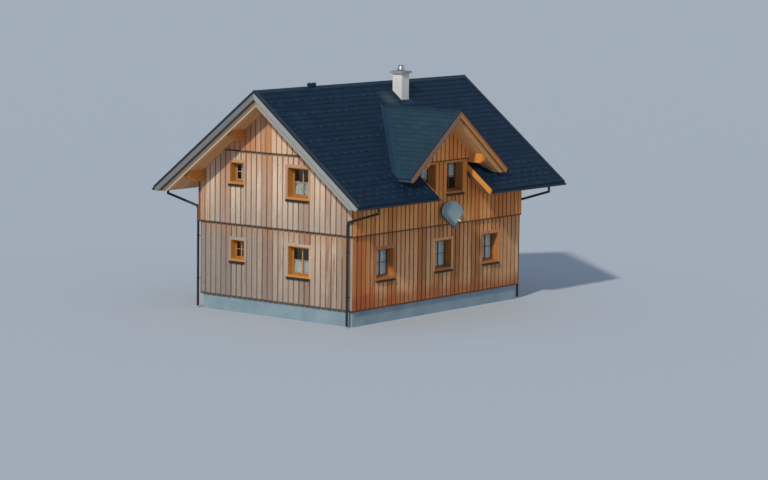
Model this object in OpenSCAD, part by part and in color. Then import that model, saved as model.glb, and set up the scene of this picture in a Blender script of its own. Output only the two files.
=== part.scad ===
// Alpine chalet: a timber house on a concrete plinth, with one full storey,
// a second storey under a steep roof, and a wall dormer on the front.
// +X runs along the ridge, -Y is the front, -X is the left gable, +Z is up.
// The origin is on the ground, under the middle of the house. Sizes in mm.

/* [House] */
// length along the ridge, over the lower boards
house_l = 11000; // [9600:100:12000]
// width from eaves wall to eaves wall, over the lower boards
house_w = 8000; // [7400:100:9000]
// height of the plinth above the ground
plinth_h = 600; // [400:50:900]
// how far the plinth lies behind the lower boards
plinth_back = 90; // [40:10:150]
// thickness of the plinth wall
plinth_t = 320; // [250:10:400]
// thickness of the foundation slab inside the plinth
slab_t = 200; // [150:10:300]

/* [Storeys] */
// height of the first drip edge, where the upper boards start
storey_z = 3550; // [3300:10:3800]
// height of the drip edge at the top of the gables
gable_line_z = 6540; // [6300:10:6700]
// height of the drip edge over the dormer windows
dormer_line_z = 6170; // [6100:10:6300]
// thickness of the ground floor
ground_floor_t = 160; // [120:10:240]
// thickness of the upper floor
upper_floor_t = 300; // [200:10:360]
// height of the underside of the upper floor
ceiling_z = 3350; // [3200:10:3400]

/* [Walls] */
// thickness of the timber wall behind the boards
wall_t = 300; // [240:10:360]
// thickness of the lower boards with their battens
board_t = 40; // [30:5:60]
// how far each band of boards stands out over the one below
step_out = 70; // [30:5:90]

/* [Roof] */
// height of the top of the roof covering over the outer face of the eaves walls
roof_at_wall_z = 6015; // [5800:5:6300]
// pitch of every slope
pitch = 38; // [33:0.5:43]
// overhang past the eaves walls, level
eaves_over = 1340; // [1000:20:1500]
// overhang past the gables
gable_over = 1380; // [1000:20:1600]
// thickness of the tiles with their battens
cover_t = 45; // [30:5:70]
// thickness of rafters, insulation and soffit boards
deck_t = 340; // [240:10:400]
// thickness of verge and eaves boards
verge_t = 30; // [20:1:40]
// thickness of the boards behind the gutters
eaves_board_t = 22; // [18:1:30]
// depth of the outer verge board
verge_outer_h = 270; // [200:10:320]
// depth to the lower edge of the inner verge board
verge_inner_h = 470; // [400:10:520]
// distance between the outer and the inner verge board
verge_gap = 100; // [60:10:140]
// depth of the packing that carries the outer verge board
packing_h = 120; // [80:10:160]
// drop from the lower edge of a roof to the level cut under its eaves
eaves_drop = 165; // [130:5:220]
// length of each leg of the ridge cap
ridge_leg = 170; // [120:10:220]
// thickness of the folded metal
metal_t = 6; // [3:1:10]
// width of the valley sheets on each slope, in plan
valley_w = 250; // [180:10:320]

/* [Wall dormer] */
// height of the top of the dormer's roof over the outer face of its side walls
dormer_at_wall_z = 6923; // [6800:1:7100]
// half of the width of the dormer wall
dormer_half = 1750; // [1600:10:1900]
// level distance from the dormer ridge to its eaves edge
dormer_reach = 3250; // [2900:10:3400]
// overhang of the dormer roof past the wall face
dormer_over = 950; // [700:10:1100]
// thickness of the dormer side walls
cheek_t = 160; // [120:10:200]
// depth of the dormer's outer verge board
dormer_outer_h = 230; // [180:10:280]
// depth to the lower edge of the dormer's inner verge board
dormer_inner_h = 390; // [350:10:450]
// how far the dormer purlins stop short of the verge
dormer_head_back = 200; // [170:10:400]

/* [Purlins] */
// width of the long purlins
purlin_w = 220; // [160:10:240]
// height of the middle purlins at their low side
mid_purlin_h = 280; // [220:10:320]
// distance of the middle purlins from the ridge line
mid_purlin_y = 1600; // [1300:10:1900]
// underside of the eaves purlins
eaves_purlin_z = 5230; // [5100:10:5300]
// how far the carved heads stop short of the verge
head_back = 330; // [200:10:500]
// radius of the carved hollows
scallop_r = 95; // [70:5:120]
// width of the dormer purlins
dormer_purlin_w = 200; // [140:10:220]
// underside of the dormer purlins
dormer_purlin_z = 6040; // [5950:10:6100]

/* [Windows] */
// width of the large windows
big_w = 1125; // [905:10:1245]
// width of the small gable windows
small_w = 750; // [600:10:900]
// sill and head of the large windows of the lower storey
low_sill_z = 1715; // [1505:10:1905]
low_head_z = 2965; // [2805:10:3055]
// sill of the small window of the lower storey
low_small_sill_z = 2080; // [1900:10:2200]
// sill and head of the large windows of the upper storey
up_sill_z = 4820; // [4600:10:4950]
up_head_z = 6105; // [5955:10:6135]
// sill of the small window of the upper storey
up_small_sill_z = 5215; // [5005:10:5305]
// distance of the outer front windows from the middle
front_win_x = 3500; // [3200:10:3700]
// place of the middle front window
mid_win_x = 300; // [-400:10:400]
// distance of the dormer windows from the middle
dormer_win_x = 900; // [800:5:950]
// places of the gable windows, along the width
gable_big_y = -1200; // [-1500:10:-900]
gable_small_y = 2010; // [1700:10:2300]
// thickness of the lining boards
lining_t = 30; // [20:1:40]
// thickness of the wooden sill board
sill_board_t = 90; // [40:1:110]
// depth of the frame face behind the lower boards
frame_set = 250; // [200:5:280]
// depth and width of the window frames
frame_d = 70; // [50:1:90]
frame_w = 60; // [45:1:80]
// thickness of the double glazing
glass_t = 24; // [18:1:36]
// how far the metal sills stand out
sill_out = 70; // [40:5:100]
// thickness of the metal sills at the wall
sill_t = 28; // [16:1:40]

/* [Entrance] */
// place and size of the door in the back wall
door_x = 0; // [-1500:50:1500]
door_w = 1020; // [900:10:1200]
door_h = 2120; // [2000:10:2200]
// thickness of the door leaf
door_t = 68; // [50:1:80]
// width and length of the landing
landing_w = 1700; // [1400:50:2200]
landing_d = 1150; // [1000:50:1500]
// going of each step
going = 300; // [260:10:340]
// number of rises up to the landing
rises = 4; // [3:1:5]

/* [Chimney and vent] */
// place of the stack
stack_x = 1570; // [1200:10:1900]
stack_y = -700; // [-900:10:-500]
// side of the square stack
stack_w = 480; // [400:10:600]
// top of the stack above the ridge
stack_rise = 350; // [250:10:500]
// thickness and edge of the cap slab
cap_t = 110; // [80:5:150]
cap_edge = 75; // [50:5:110]
// outer radius of the flue at its foot
flue_r = 165; // [120:5:180]
// outer radius of the flue under its rim
flue_top_r = 112; // [80:2:118]
// thickness of the flue's double wall
flue_t = 10; // [6:1:20]
// how far the flue's collar stands out at its foot
flue_collar = 22; // [10:1:40]
// height of the flue above the cap
flue_h = 225; // [180:10:320]
// place of the ridge vent, radius of its pipes and their spacing
vent_x = -3340; // [-4000:10:-2500]
vent_r = 90; // [70:5:105]
vent_gap = 270; // [240:5:320]
// height of the vent's pipes above the ridge
vent_h = 65; // [50:5:140]
// height of the rounded caps on the vent's pipes, and how far they stand out
vent_cap_h = 95; // [60:5:120]
vent_lip = 14; // [8:1:25]

/* [Gutters and pipes] */
// outer radius of the half-round gutters
gutter_r = 75; // [60:1:90]
// sheet thickness of gutters and downpipes
sheet_t = 5; // [3:1:8]
// outer radius of the downpipes
pipe_r = 50; // [40:1:60]
// gap between downpipe and boards
pipe_gap = 60; // [30:5:90]
// distance of the front downpipes from the wall corner
pipe_in = 150; // [120:10:250]
// height of the lower end of the sloping pipe runs
pipe_bend_z = 4110; // [3900:10:4200]
// length of the drop from the gutter before a pipe turns back
pipe_drop = 190; // [90:10:260]
// distance of the back pipes' outlets from the gables
back_outlet = 460; // [200:20:800]
// size of the cut corner where a pipe turns down the wall
pipe_bend = 60; // [40:5:100]
// height of a downpipe's foot above the ground
pipe_foot_z = 60; // [30:10:150]

/* [Dish] */
// width and depth of the reflector
dish_w = 990; // [800:10:1100]
dish_deep = 95; // [60:5:140]
// how far the pointed lower end of the reflector reaches below its middle
dish_tip = 590; // [520:10:680]
// place of the reflector's middle
dish_x = 260; // [100:10:500]
dish_z = 4090; // [3900:10:4200]
// distance of the reflector from the boards
dish_out = 400; // [300:10:500]
// turn to the left and lean back, in degrees
dish_turn = 24; // [10:1:50]
dish_lean = 12; // [5:1:25]
// reach of the receiver in front of the reflector and its height over the point
arm_reach = 500; // [400:10:600]
arm_rise = 250; // [60:10:320]

/* [Curtains] */
// thickness of the curtain slabs and their distance behind the glass
curtain_t = 14; // [6:1:20]
curtain_gap = 30; // [15:1:60]

/* [Hidden] */
half_l = house_l / 2;
half_w = house_w / 2;
ridge_z = roof_at_wall_z + half_w * tan(pitch);
dormer_ridge_z = dormer_at_wall_z + dormer_half * tan(pitch);
roof_reach = half_w + eaves_over;
core_l = house_l - 2 * board_t;
core_w = house_w - 2 * board_t;
room_l = core_l - 2 * wall_t;
room_w = core_w - 2 * wall_t;
ground_floor_z = plinth_h + ground_floor_t;
upper_floor_z = ceiling_z + upper_floor_t;
upper_out = step_out;
top_out = 2 * step_out;
roof_t = cover_t + deck_t;
under_z = ridge_z - roof_t / cos(pitch);
dormer_under_z = dormer_ridge_z - roof_t / cos(pitch);
roof_half_l = half_l + gable_over;
deck_half_l = roof_half_l - 2 * verge_t - verge_gap;
slope_l = (half_w + eaves_over) / cos(pitch);
dormer_slope_l = dormer_reach / cos(pitch);
dormer_front_y = -(half_w + upper_out + dormer_over);
dormer_deck_y = dormer_front_y + 2 * verge_t + verge_gap;
dormer_back_y = -(ridge_z - dormer_ridge_z) / tan(pitch) + 200;
cut_x = dormer_half + verge_t;
seat_gap = 0.3;
dish_skin = 8;
far = 30000;
big_y_list = [gable_big_y, gable_small_y];
front_turn = 0;
left_turn = -90;
right_turn = 90;
back_turn = 180;

// a window is [turn, wall distance, place, width, sill, head, stand-out, curtain]
front_low_windows = [
  for (x = [-front_win_x, mid_win_x, front_win_x])
    [front_turn, half_w, x, big_w, low_sill_z, low_head_z, 0, 1]
];
dormer_windows = [
  for (x = [-dormer_win_x, dormer_win_x])
    [front_turn, half_w, x, big_w, up_sill_z, up_head_z, upper_out, 1]
];
back_low_windows = [
  for (x = [-front_win_x, front_win_x])
    [back_turn, half_w, x, big_w, low_sill_z, low_head_z, 0, 1]
];
left_low_windows = [
  [left_turn, half_l, -gable_big_y, big_w, low_sill_z, low_head_z, 0, 0.5],
  [left_turn, half_l, -gable_small_y, small_w, low_small_sill_z, low_head_z, 0, 0]
];
left_up_windows = [
  [left_turn, half_l, -gable_big_y, big_w, up_sill_z, up_head_z, upper_out, 0.5],
  [left_turn, half_l, -gable_small_y, small_w, up_small_sill_z, up_head_z, upper_out, 0]
];
right_low_windows = [
  [right_turn, half_l, gable_big_y, big_w, low_sill_z, low_head_z, 0, 0.5],
  [right_turn, half_l, gable_small_y, small_w, low_small_sill_z, low_head_z, 0, 0]
];
right_up_windows = [
  [right_turn, half_l, gable_big_y, big_w, up_sill_z, up_head_z, upper_out, 0.5],
  [right_turn, half_l, gable_small_y, small_w, up_small_sill_z, up_head_z, upper_out, 0]
];
all_windows = concat(front_low_windows, dormer_windows, back_low_windows,
  left_low_windows, left_up_windows, right_low_windows, right_up_windows);

// which piece to show

// shared shapes

// a profile drawn across the house, (y, z), drawn out along X
module along_x(x0, x1) {
  translate([x0, 0, 0])
    rotate([90, 0, 90])
      linear_extrude(x1 - x0)
        children();
}

// a profile drawn along the house, (x, z), drawn out along Y
module along_y(y0, y1) {
  translate([0, y1, 0])
    rotate([90, 0, 0])
      linear_extrude(y1 - y0)
        children();
}

// one slope from the ridge outwards, between two depths under its top face;
// its lower end is square to the slope and then cut level
module slope(top, run, p0, p1) {
  intersection() {
    polygon([
      [0, top - p0 / cos(pitch)],
      [run * cos(pitch) - p0 * sin(pitch), top - run * sin(pitch) - p0 * cos(pitch)],
      [run * cos(pitch) - p1 * sin(pitch), top - run * sin(pitch) - p1 * cos(pitch)],
      [0, top - p1 / cos(pitch)]
    ]);
    translate([0, top - run * sin(pitch) - eaves_drop])
      square([far, far]);
  }
}

module both_slopes(top, run, p0, p1) {
  slope(top, run, p0, p1);
  mirror([1, 0])
    slope(top, run, p0, p1);
}

// everything under a pair of slopes, down to a level
module under_slopes(apex, reach, low) {
  polygon([
    [-reach, low],
    [reach, low],
    [reach, apex - reach * tan(pitch)],
    [0, apex],
    [-reach, apex - reach * tan(pitch)]
  ]);
}

// all that lies under the top face of the main roof
module below_main_roof() {
  along_x(-far / 2, far / 2)
    under_slopes(ridge_z, far / 4, -far);
}

module at_side(turn, distance) {
  rotate([0, 0, turn])
    translate([0, -distance, 0])
      children();
}

module window_hole(v) {
  at_side(v[0], v[1])
    translate([v[2] - v[3] / 2, -wall_t, v[4]])
      cube([v[3], 3 * wall_t, v[5] - v[4]]);
}

module door_hole() {
  at_side(back_turn, half_w)
    translate([door_x - door_w / 2, -wall_t, ground_floor_z])
      cube([door_w, 3 * wall_t, door_h]);
}

// ground and floors

module plinth() {
  color([0.50, 0.54, 0.57])
    difference() {
      translate([-half_l + plinth_back, -half_w + plinth_back, 0])
        cube([house_l - 2 * plinth_back, house_w - 2 * plinth_back, plinth_h]);
      translate([-half_l + plinth_back + plinth_t, -half_w + plinth_back + plinth_t, -1])
        cube([house_l - 2 * (plinth_back + plinth_t), house_w - 2 * (plinth_back + plinth_t),
          plinth_h + 2]);
    }
}

module foundation_slab() {
  color([0.55, 0.55, 0.53])
    translate([-half_l + plinth_back + plinth_t, -half_w + plinth_back + plinth_t, 0])
      cube([house_l - 2 * (plinth_back + plinth_t), house_w - 2 * (plinth_back + plinth_t),
        slab_t]);
}

module ground_floor() {
  color([0.62, 0.48, 0.34])
    translate([-core_l / 2, -core_w / 2, plinth_h])
      cube([core_l, core_w, ground_floor_t]);
}

module upper_floor() {
  color([0.62, 0.48, 0.34])
    translate([-core_l / 2, -core_w / 2, ceiling_z])
      cube([core_l, core_w, upper_floor_t]);
}

// timber walls

module long_wall_lower(side) {
  translate([-core_l / 2, side > 0 ? core_w / 2 - wall_t : -core_w / 2, ground_floor_z])
    cube([core_l, wall_t, ceiling_z - ground_floor_z]);
}

module front_wall_lower() {
  color([0.86, 0.80, 0.70])
    difference() {
      long_wall_lower(-1);
      for (v = front_low_windows)
        window_hole(v);
    }
}

module back_wall_lower() {
  color([0.86, 0.80, 0.70])
    difference() {
      long_wall_lower(1);
      for (v = back_low_windows)
        window_hole(v);
      door_hole();
    }
}

module gable_wall_lower(side) {
  translate([side > 0 ? core_l / 2 - wall_t : -core_l / 2, -room_w / 2, ground_floor_z])
    cube([wall_t, room_w, ceiling_z - ground_floor_z]);
}

module left_gable_lower() {
  color([0.86, 0.80, 0.70])
    difference() {
      gable_wall_lower(-1);
      for (v = left_low_windows)
        window_hole(v);
    }
}

module right_gable_lower() {
  color([0.86, 0.80, 0.70])
    difference() {
      gable_wall_lower(1);
      for (v = right_low_windows)
        window_hole(v);
    }
}

// the front wall rises between the two halves of the eaves as the dormer wall
module front_upper_outline(low, grow) {
  translate([-core_l / 2 - grow, low])
    square([core_l + 2 * grow, eaves_purlin_z - low]);
  intersection() {
    translate([-dormer_half, low])
      square([2 * dormer_half, dormer_ridge_z - low]);
    under_slopes(dormer_under_z, 2 * dormer_reach, 0);
  }
}

module front_wall_upper() {
  color([0.86, 0.80, 0.70])
    difference() {
      along_y(-core_w / 2, -room_w / 2)
        front_upper_outline(upper_floor_z, 0);
      for (v = dormer_windows)
        window_hole(v);
    }
}

module back_wall_upper() {
  color([0.86, 0.80, 0.70])
    along_y(room_w / 2, core_w / 2)
      translate([-core_l / 2, upper_floor_z])
        square([core_l, eaves_purlin_z - upper_floor_z]);
}

module gable_upper_core(x0, x1) {
  difference() {
    along_x(x0, x1)
      intersection() {
        under_slopes(under_z, half_w, 0);
        translate([-room_w / 2, upper_floor_z])
          square([room_w, far]);
      }
    purlin_bars();
  }
}

module left_gable_upper() {
  color([0.86, 0.80, 0.70])
    difference() {
      gable_upper_core(-core_l / 2, -core_l / 2 + wall_t);
      for (v = left_up_windows)
        window_hole(v);
    }
}

module right_gable_upper() {
  color([0.86, 0.80, 0.70])
    difference() {
      gable_upper_core(core_l / 2 - wall_t, core_l / 2);
      for (v = right_up_windows)
        window_hole(v);
    }
}

// the small side walls of the dormer stand on the main roof behind its front wall
module dormer_cheeks() {
  color([0.72, 0.50, 0.32])
    difference() {
      for (s = [-1, 1])
        along_y(-room_w / 2, 0)
          intersection() {
            under_slopes(dormer_under_z, 2 * dormer_reach, 0);
            translate([s > 0 ? dormer_half - cheek_t : -dormer_half, upper_floor_z])
              square([cheek_t, far]);
          }
      below_main_roof();
    }
}

// boards in three bands

module lower_boards_long_sides() {
  color([0.66, 0.42, 0.24])
    difference() {
      for (s = [-1, 1])
        translate([-half_l, s > 0 ? core_w / 2 : -half_w, plinth_h])
          cube([house_l, board_t, storey_z - plinth_h]);
      for (v = concat(front_low_windows, back_low_windows))
        window_hole(v);
      door_hole();
    }
}

module lower_boards_gables() {
  color([0.74, 0.62, 0.50])
    difference() {
      for (s = [-1, 1])
        translate([s > 0 ? core_l / 2 : -half_l, -core_w / 2, plinth_h])
          cube([board_t, core_w, storey_z - plinth_h]);
      for (v = concat(left_low_windows, right_low_windows))
        window_hole(v);
    }
}

// a band on a long side ends under the sloping soffit
module upper_boards_long_sides() {
  color([0.66, 0.42, 0.24])
    difference() {
      union() {
        intersection() {
          for (s = [-1, 1])
            translate([-half_l - upper_out, s > 0 ? core_w / 2 : -half_w - upper_out, storey_z])
              cube([house_l + 2 * upper_out, board_t + upper_out, far]);
          along_x(-far / 2, far / 2)
            under_slopes(under_z, roof_reach, 0);
        }
        along_y(-half_w - upper_out, -core_w / 2)
          translate([-dormer_half, storey_z])
            square([2 * dormer_half, dormer_line_z - storey_z]);
      }
      for (v = dormer_windows)
        window_hole(v);
    }
}

module upper_boards_gables() {
  color([0.74, 0.62, 0.50])
    difference() {
      for (s = [-1, 1])
        along_x(s > 0 ? core_l / 2 : -half_l - upper_out, s > 0 ? half_l + upper_out : -core_l / 2)
          intersection() {
            under_slopes(under_z, half_w, 0);
            translate([-core_w / 2, storey_z])
              square([core_w, gable_line_z - storey_z]);
          }
      for (v = concat(left_up_windows, right_up_windows))
        window_hole(v);
      purlin_bars();
    }
}

module top_boards() {
  color([0.78, 0.56, 0.38])
    difference() {
      union() {
        for (s = [-1, 1])
          along_x(s > 0 ? core_l / 2 : -half_l - top_out, s > 0 ? half_l + top_out : -core_l / 2)
            intersection() {
              under_slopes(under_z, half_w, 0);
              translate([-half_w, gable_line_z])
                square([house_w, far]);
            }
        along_y(-half_w - top_out, -core_w / 2)
          intersection() {
            under_slopes(dormer_under_z, 2 * dormer_reach, 0);
            translate([-dormer_half, dormer_line_z])
              square([2 * dormer_half, far]);
          }
      }
      purlin_bars();
    }
}

// purlins with carved heads

// the plain bars, which also cut their pockets in the gables
module eaves_bar_profile(s) {
  intersection() {
    under_slopes(under_z, roof_reach, 0);
    translate([s > 0 ? core_w / 2 - purlin_w : -core_w / 2, eaves_purlin_z])
      square([purlin_w, far]);
  }
}

module mid_bar_profile(s) {
  low_side = mid_purlin_y + purlin_w / 2;
  intersection() {
    under_slopes(under_z, half_w, 0);
    translate([s * mid_purlin_y - purlin_w / 2, under_z - low_side * tan(pitch) - mid_purlin_h])
      square([purlin_w, far]);
  }
}

module purlin_bars() {
  for (s = [-1, 1]) {
    along_x(-roof_half_l, roof_half_l)
      eaves_bar_profile(s);
    along_x(-roof_half_l, roof_half_l)
      mid_bar_profile(s);
  }
}

// a head steps up in three hollows, each followed by a small square nose
module head_cuts(tip, low, rise) {
  nose = scallop_r * 0.45;
  reach = scallop_r + nose;
  for (i = [0 : 2])
    translate([tip + i * reach, low + (2 - i) * rise])
      circle(r = scallop_r, $fn = 32);
  for (i = [0 : 2])
    translate([tip - 400, low - 400])
      square([400 + i * reach, 400 + (2 - i) * rise]);
}

// the outline of a long purlin seen from its side, carved at both ends
module carved_outline(x0, x1, low, high, carve_low, carve_high) {
  rise = 62;
  difference() {
    translate([x0, low])
      square([x1 - x0, high - low]);
    if (carve_low)
      head_cuts(x0, low, rise);
    if (carve_high)
      mirror([1, 0])
        head_cuts(-x1, low, rise);
  }
}

module eaves_purlins() {
  tip = roof_half_l - head_back;
  color([0.62, 0.42, 0.26])
    for (s = [-1, 1])
      intersection() {
        along_x(-roof_half_l, roof_half_l)
          eaves_bar_profile(s);
        along_y(s > 0 ? 0 : -roof_reach, s > 0 ? roof_reach : 0)
          difference() {
            carved_outline(-tip, tip, eaves_purlin_z, under_z, true, true);
            if (s < 0)
              translate([-dormer_half, 0])
                square([2 * dormer_half, far]);
          }
      }
}

module middle_purlins() {
  tip = roof_half_l - head_back;
  low_side = mid_purlin_y + purlin_w / 2;
  low = under_z - low_side * tan(pitch) - mid_purlin_h;
  color([0.62, 0.42, 0.26])
    for (s = [-1, 1])
      intersection() {
        along_x(-roof_half_l, roof_half_l)
          mid_bar_profile(s);
        along_y(s > 0 ? 0 : -half_w, s > 0 ? half_w : 0)
          carved_outline(-tip, tip, low, under_z, true, true);
      }
}

module dormer_purlins() {
  tip = dormer_front_y + dormer_head_back;
  color([0.80, 0.46, 0.18])
    difference() {
      for (s = [-1, 1])
        intersection() {
          along_y(tip, 0)
            intersection() {
              under_slopes(dormer_under_z, 2 * dormer_reach, 0);
              translate([s > 0 ? dormer_half : -dormer_half - dormer_purlin_w, dormer_purlin_z])
                square([dormer_purlin_w, far]);
            }
          along_x(s > 0 ? 0 : -dormer_reach, s > 0 ? dormer_reach : 0)
            difference() {
              translate([tip, dormer_purlin_z])
                square([-tip, dormer_ridge_z - dormer_purlin_z]);
              translate([tip, dormer_purlin_z])
                circle(r = scallop_r, $fn = 32);
            }
        }
      below_main_roof();
    }
}

// roof

// the dormer's space, which the main roof is cut away for
module dormer_space() {
  along_y(-far / 2, -room_w / 2)
    translate([-cut_x, 0])
      square([2 * cut_x, far]);
  along_y(-room_w / 2 - 1, 0)
    intersection() {
      translate([-dormer_half + cheek_t, 0])
        square([2 * (dormer_half - cheek_t), far]);
      under_slopes(dormer_under_z, dormer_reach, 0);
    }
}

module front_layer(x_half, p0, p1) {
  difference() {
    along_x(-x_half, x_half)
      mirror([1, 0])
        slope(ridge_z, slope_l, p0, p1);
    dormer_space();
    stack_hole();
  }
}

module stack_hole() {
  translate([stack_x - stack_w / 2, stack_y - stack_w / 2, upper_floor_z])
    cube([stack_w, stack_w, ridge_z]);
}

module front_roof_deck() {
  color([0.70, 0.52, 0.36])
    front_layer(deck_half_l, cover_t, roof_t);
}

module back_roof_deck() {
  color([0.70, 0.52, 0.36])
    along_x(-deck_half_l, deck_half_l)
      slope(ridge_z, slope_l, cover_t, roof_t);
}

module front_roof_tiles() {
  color([0.12, 0.16, 0.22])
    front_layer(roof_half_l, 0, cover_t);
}

module back_roof_tiles() {
  color([0.12, 0.16, 0.22])
    along_x(-roof_half_l, roof_half_l)
      slope(ridge_z, slope_l, 0, cover_t);
}

module dormer_roof_deck() {
  color([0.70, 0.52, 0.36])
    difference() {
      along_y(dormer_deck_y, dormer_back_y)
        both_slopes(dormer_ridge_z, dormer_slope_l, cover_t, roof_t);
      below_main_roof();
    }
}

module dormer_roof_tiles() {
  color([0.14, 0.19, 0.25])
    difference() {
      along_y(dormer_front_y, dormer_back_y)
        both_slopes(dormer_ridge_z, dormer_slope_l, 0, cover_t);
      below_main_roof();
    }
}

module ridge_caps() {
  color([0.10, 0.13, 0.18]) {
    along_x(-roof_half_l, roof_half_l)
      both_slopes(ridge_z + metal_t / cos(pitch), ridge_leg, 0, metal_t);
    difference() {
      along_y(dormer_front_y, dormer_back_y)
        both_slopes(dormer_ridge_z + metal_t / cos(pitch), ridge_leg, 0, metal_t);
      below_main_roof();
    }
  }
}

// bent sheets line the two valleys, from the dormer's ridge cap to its eaves
module valley_strip(s) {
  top_y = -(ridge_z - dormer_ridge_z) / tan(pitch);
  in_x = ridge_leg * cos(pitch) + 4;
  out_x = dormer_reach - 12;
  translate([0, top_y, 0])
    linear_extrude(far)
      polygon([
        [s * in_x, valley_w - in_x],
        [s * out_x, valley_w - out_x],
        [s * out_x, -valley_w - out_x],
        [s * in_x, -valley_w - in_x]
      ]);
}

// all that lies on one side of the upright plane through a valley
module above_valley(s) {
  top_y = -(ridge_z - dormer_ridge_z) / tan(pitch);
  translate([0, top_y + seat_gap, 0])
    linear_extrude(far)
      polygon([[0, 0], [s * far, -far], [s * far, far], [0, far]]);
}

module below_valley(s) {
  top_y = -(ridge_z - dormer_ridge_z) / tan(pitch);
  translate([0, top_y - seat_gap, 0])
    linear_extrude(far)
      polygon([[0, 0], [s * far, -far], [0, -far]]);
}

module valley_flashings() {
  lift = metal_t / cos(pitch);
  color([0.26, 0.33, 0.38])
    for (s = [-1, 1]) {
      intersection() {
        valley_strip(s);
        above_valley(s);
        along_x(-dormer_reach, dormer_reach)
          mirror([1, 0])
            slope(ridge_z + lift, slope_l, 0, metal_t);
      }
      intersection() {
        valley_strip(s);
        below_valley(s);
        along_y(dormer_front_y, 0)
          both_slopes(dormer_ridge_z + lift, dormer_slope_l, 0, metal_t);
      }
    }
}

// an inner board closes the deck, and packing holds the outer board clear of it
module verge_boards() {
  color([0.66, 0.62, 0.56])
    for (s = [0, 1])
      mirror([s, 0, 0]) {
        along_x(roof_half_l - verge_t, roof_half_l)
          both_slopes(ridge_z, slope_l, cover_t, verge_outer_h);
        along_x(deck_half_l + verge_t, roof_half_l - verge_t)
          both_slopes(ridge_z, slope_l, cover_t, packing_h);
        along_x(deck_half_l, deck_half_l + verge_t)
          both_slopes(ridge_z, slope_l, cover_t, verge_inner_h);
      }
}

module dormer_verge_boards() {
  color([0.74, 0.54, 0.36])
    difference() {
      union() {
        along_y(dormer_front_y, dormer_front_y + verge_t)
          both_slopes(dormer_ridge_z, dormer_slope_l, cover_t, dormer_outer_h);
        along_y(dormer_front_y + verge_t, dormer_deck_y - verge_t)
          both_slopes(dormer_ridge_z, dormer_slope_l, cover_t, packing_h);
        along_y(dormer_deck_y - verge_t, dormer_deck_y)
          both_slopes(dormer_ridge_z, dormer_slope_l, cover_t, dormer_inner_h);
      }
      below_main_roof();
    }
}

// boards that close the two cut ends of the main eaves beside the dormer wall
module roof_cut_boards() {
  color([0.86, 0.56, 0.28])
    for (s = [-1, 1])
      intersection() {
        along_x(s > 0 ? dormer_half : -cut_x, s > 0 ? cut_x : -dormer_half)
          mirror([1, 0])
            slope(ridge_z, slope_l, 0, roof_t);
        translate([-half_l, -far, 0])
          cube([house_l, far - half_w - upper_out, far]);
      }
}

// eaves boards close the rafters behind the gutters
module eaves_boards() {
  color([0.60, 0.44, 0.30]) {
    difference() {
      for (s = [0, 1])
        mirror([0, s, 0])
          along_x(-deck_half_l, deck_half_l)
            mirror([1, 0])
              eaves_board_profile();
      translate([-cut_x, -far, 0])
        cube([2 * cut_x, far, far]);
    }
  }
}

module eaves_board_profile() {
  c = cos(pitch);
  s = sin(pitch);
  top = cover_t + 5;
  intersection() {
    polygon([
      [slope_l * c - top * s, ridge_z - slope_l * s - top * c],
      [(slope_l + eaves_board_t) * c - top * s, ridge_z - (slope_l + eaves_board_t) * s - top * c],
      [(slope_l + eaves_board_t) * c - roof_t * s, ridge_z - (slope_l + eaves_board_t) * s - roof_t * c],
      [slope_l * c - roof_t * s, ridge_z - slope_l * s - roof_t * c]
    ]);
    translate([0, ridge_z - slope_l * s - eaves_drop])
      square([far, far]);
  }
}

// windows

module place_window(v) {
  at_side(v[0], v[1])
    translate([v[2], 0, v[4]])
      children();
}

module lining(v) {
  w = v[3];
  h = v[5] - v[4];
  out = v[6];
  difference() {
    translate([-w / 2, -out, 0])
      cube([w, frame_set + out, h]);
    translate([-w / 2 + lining_t, -out - 1, sill_board_t])
      cube([w - 2 * lining_t, frame_set + out + 2, h - lining_t - sill_board_t]);
  }
}

module window_linings() {
  color([0.76, 0.46, 0.22])
    for (v = all_windows)
      place_window(v)
        lining(v);
}

module frame(v) {
  w = v[3];
  h = v[5] - v[4];
  difference() {
    translate([-w / 2, frame_set, 0])
      cube([w, frame_d, h]);
    translate([-w / 2 + lining_t + frame_w, frame_set - 1, sill_board_t + frame_w])
      cube([w - 2 * (lining_t + frame_w), frame_d + 2,
        h - sill_board_t - lining_t - 2 * frame_w]);
  }
}

module window_frames() {
  color([0.30, 0.20, 0.14])
    for (v = all_windows)
      place_window(v)
        frame(v);
}

module window_glass() {
  color([0.75, 0.82, 0.85, 0.4])
    for (v = all_windows)
      place_window(v)
        translate([-v[3] / 2 + lining_t + frame_w, frame_set + (frame_d - glass_t) / 2,
          sill_board_t + frame_w])
          cube([v[3] - 2 * (lining_t + frame_w), glass_t,
            pane_h(v)]);
}

module window_sills() {
  color([0.16, 0.16, 0.17])
    for (v = all_windows)
      place_window(v)
        translate([-v[3] / 2 - 30, 0, 0])
          along_x(0, v[3] + 60)
            polygon([
              [-v[6], 0],
              [-v[6] - sill_out, -12],
              [-v[6] - sill_out, -12 - sill_t],
              [-v[6] - sill_out + 8, -12 - sill_t],
              [-v[6] - sill_out + 8, -sill_t],
              [-v[6], -sill_t + 8]
            ]);
}

function pane_h(v) = v[5] - v[4] - sill_board_t - lining_t - 2 * frame_w;

module curtains() {
  color([0.92, 0.92, 0.90])
    for (v = all_windows)
      if (v[7] > 0)
        place_window(v)
          translate([-v[3] / 2 + lining_t + frame_w / 2, frame_set + frame_d + curtain_gap,
            sill_board_t + frame_w])
            cube([v[3] - 2 * lining_t - frame_w, curtain_t, v[7] * pane_h(v)]);
}

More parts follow.
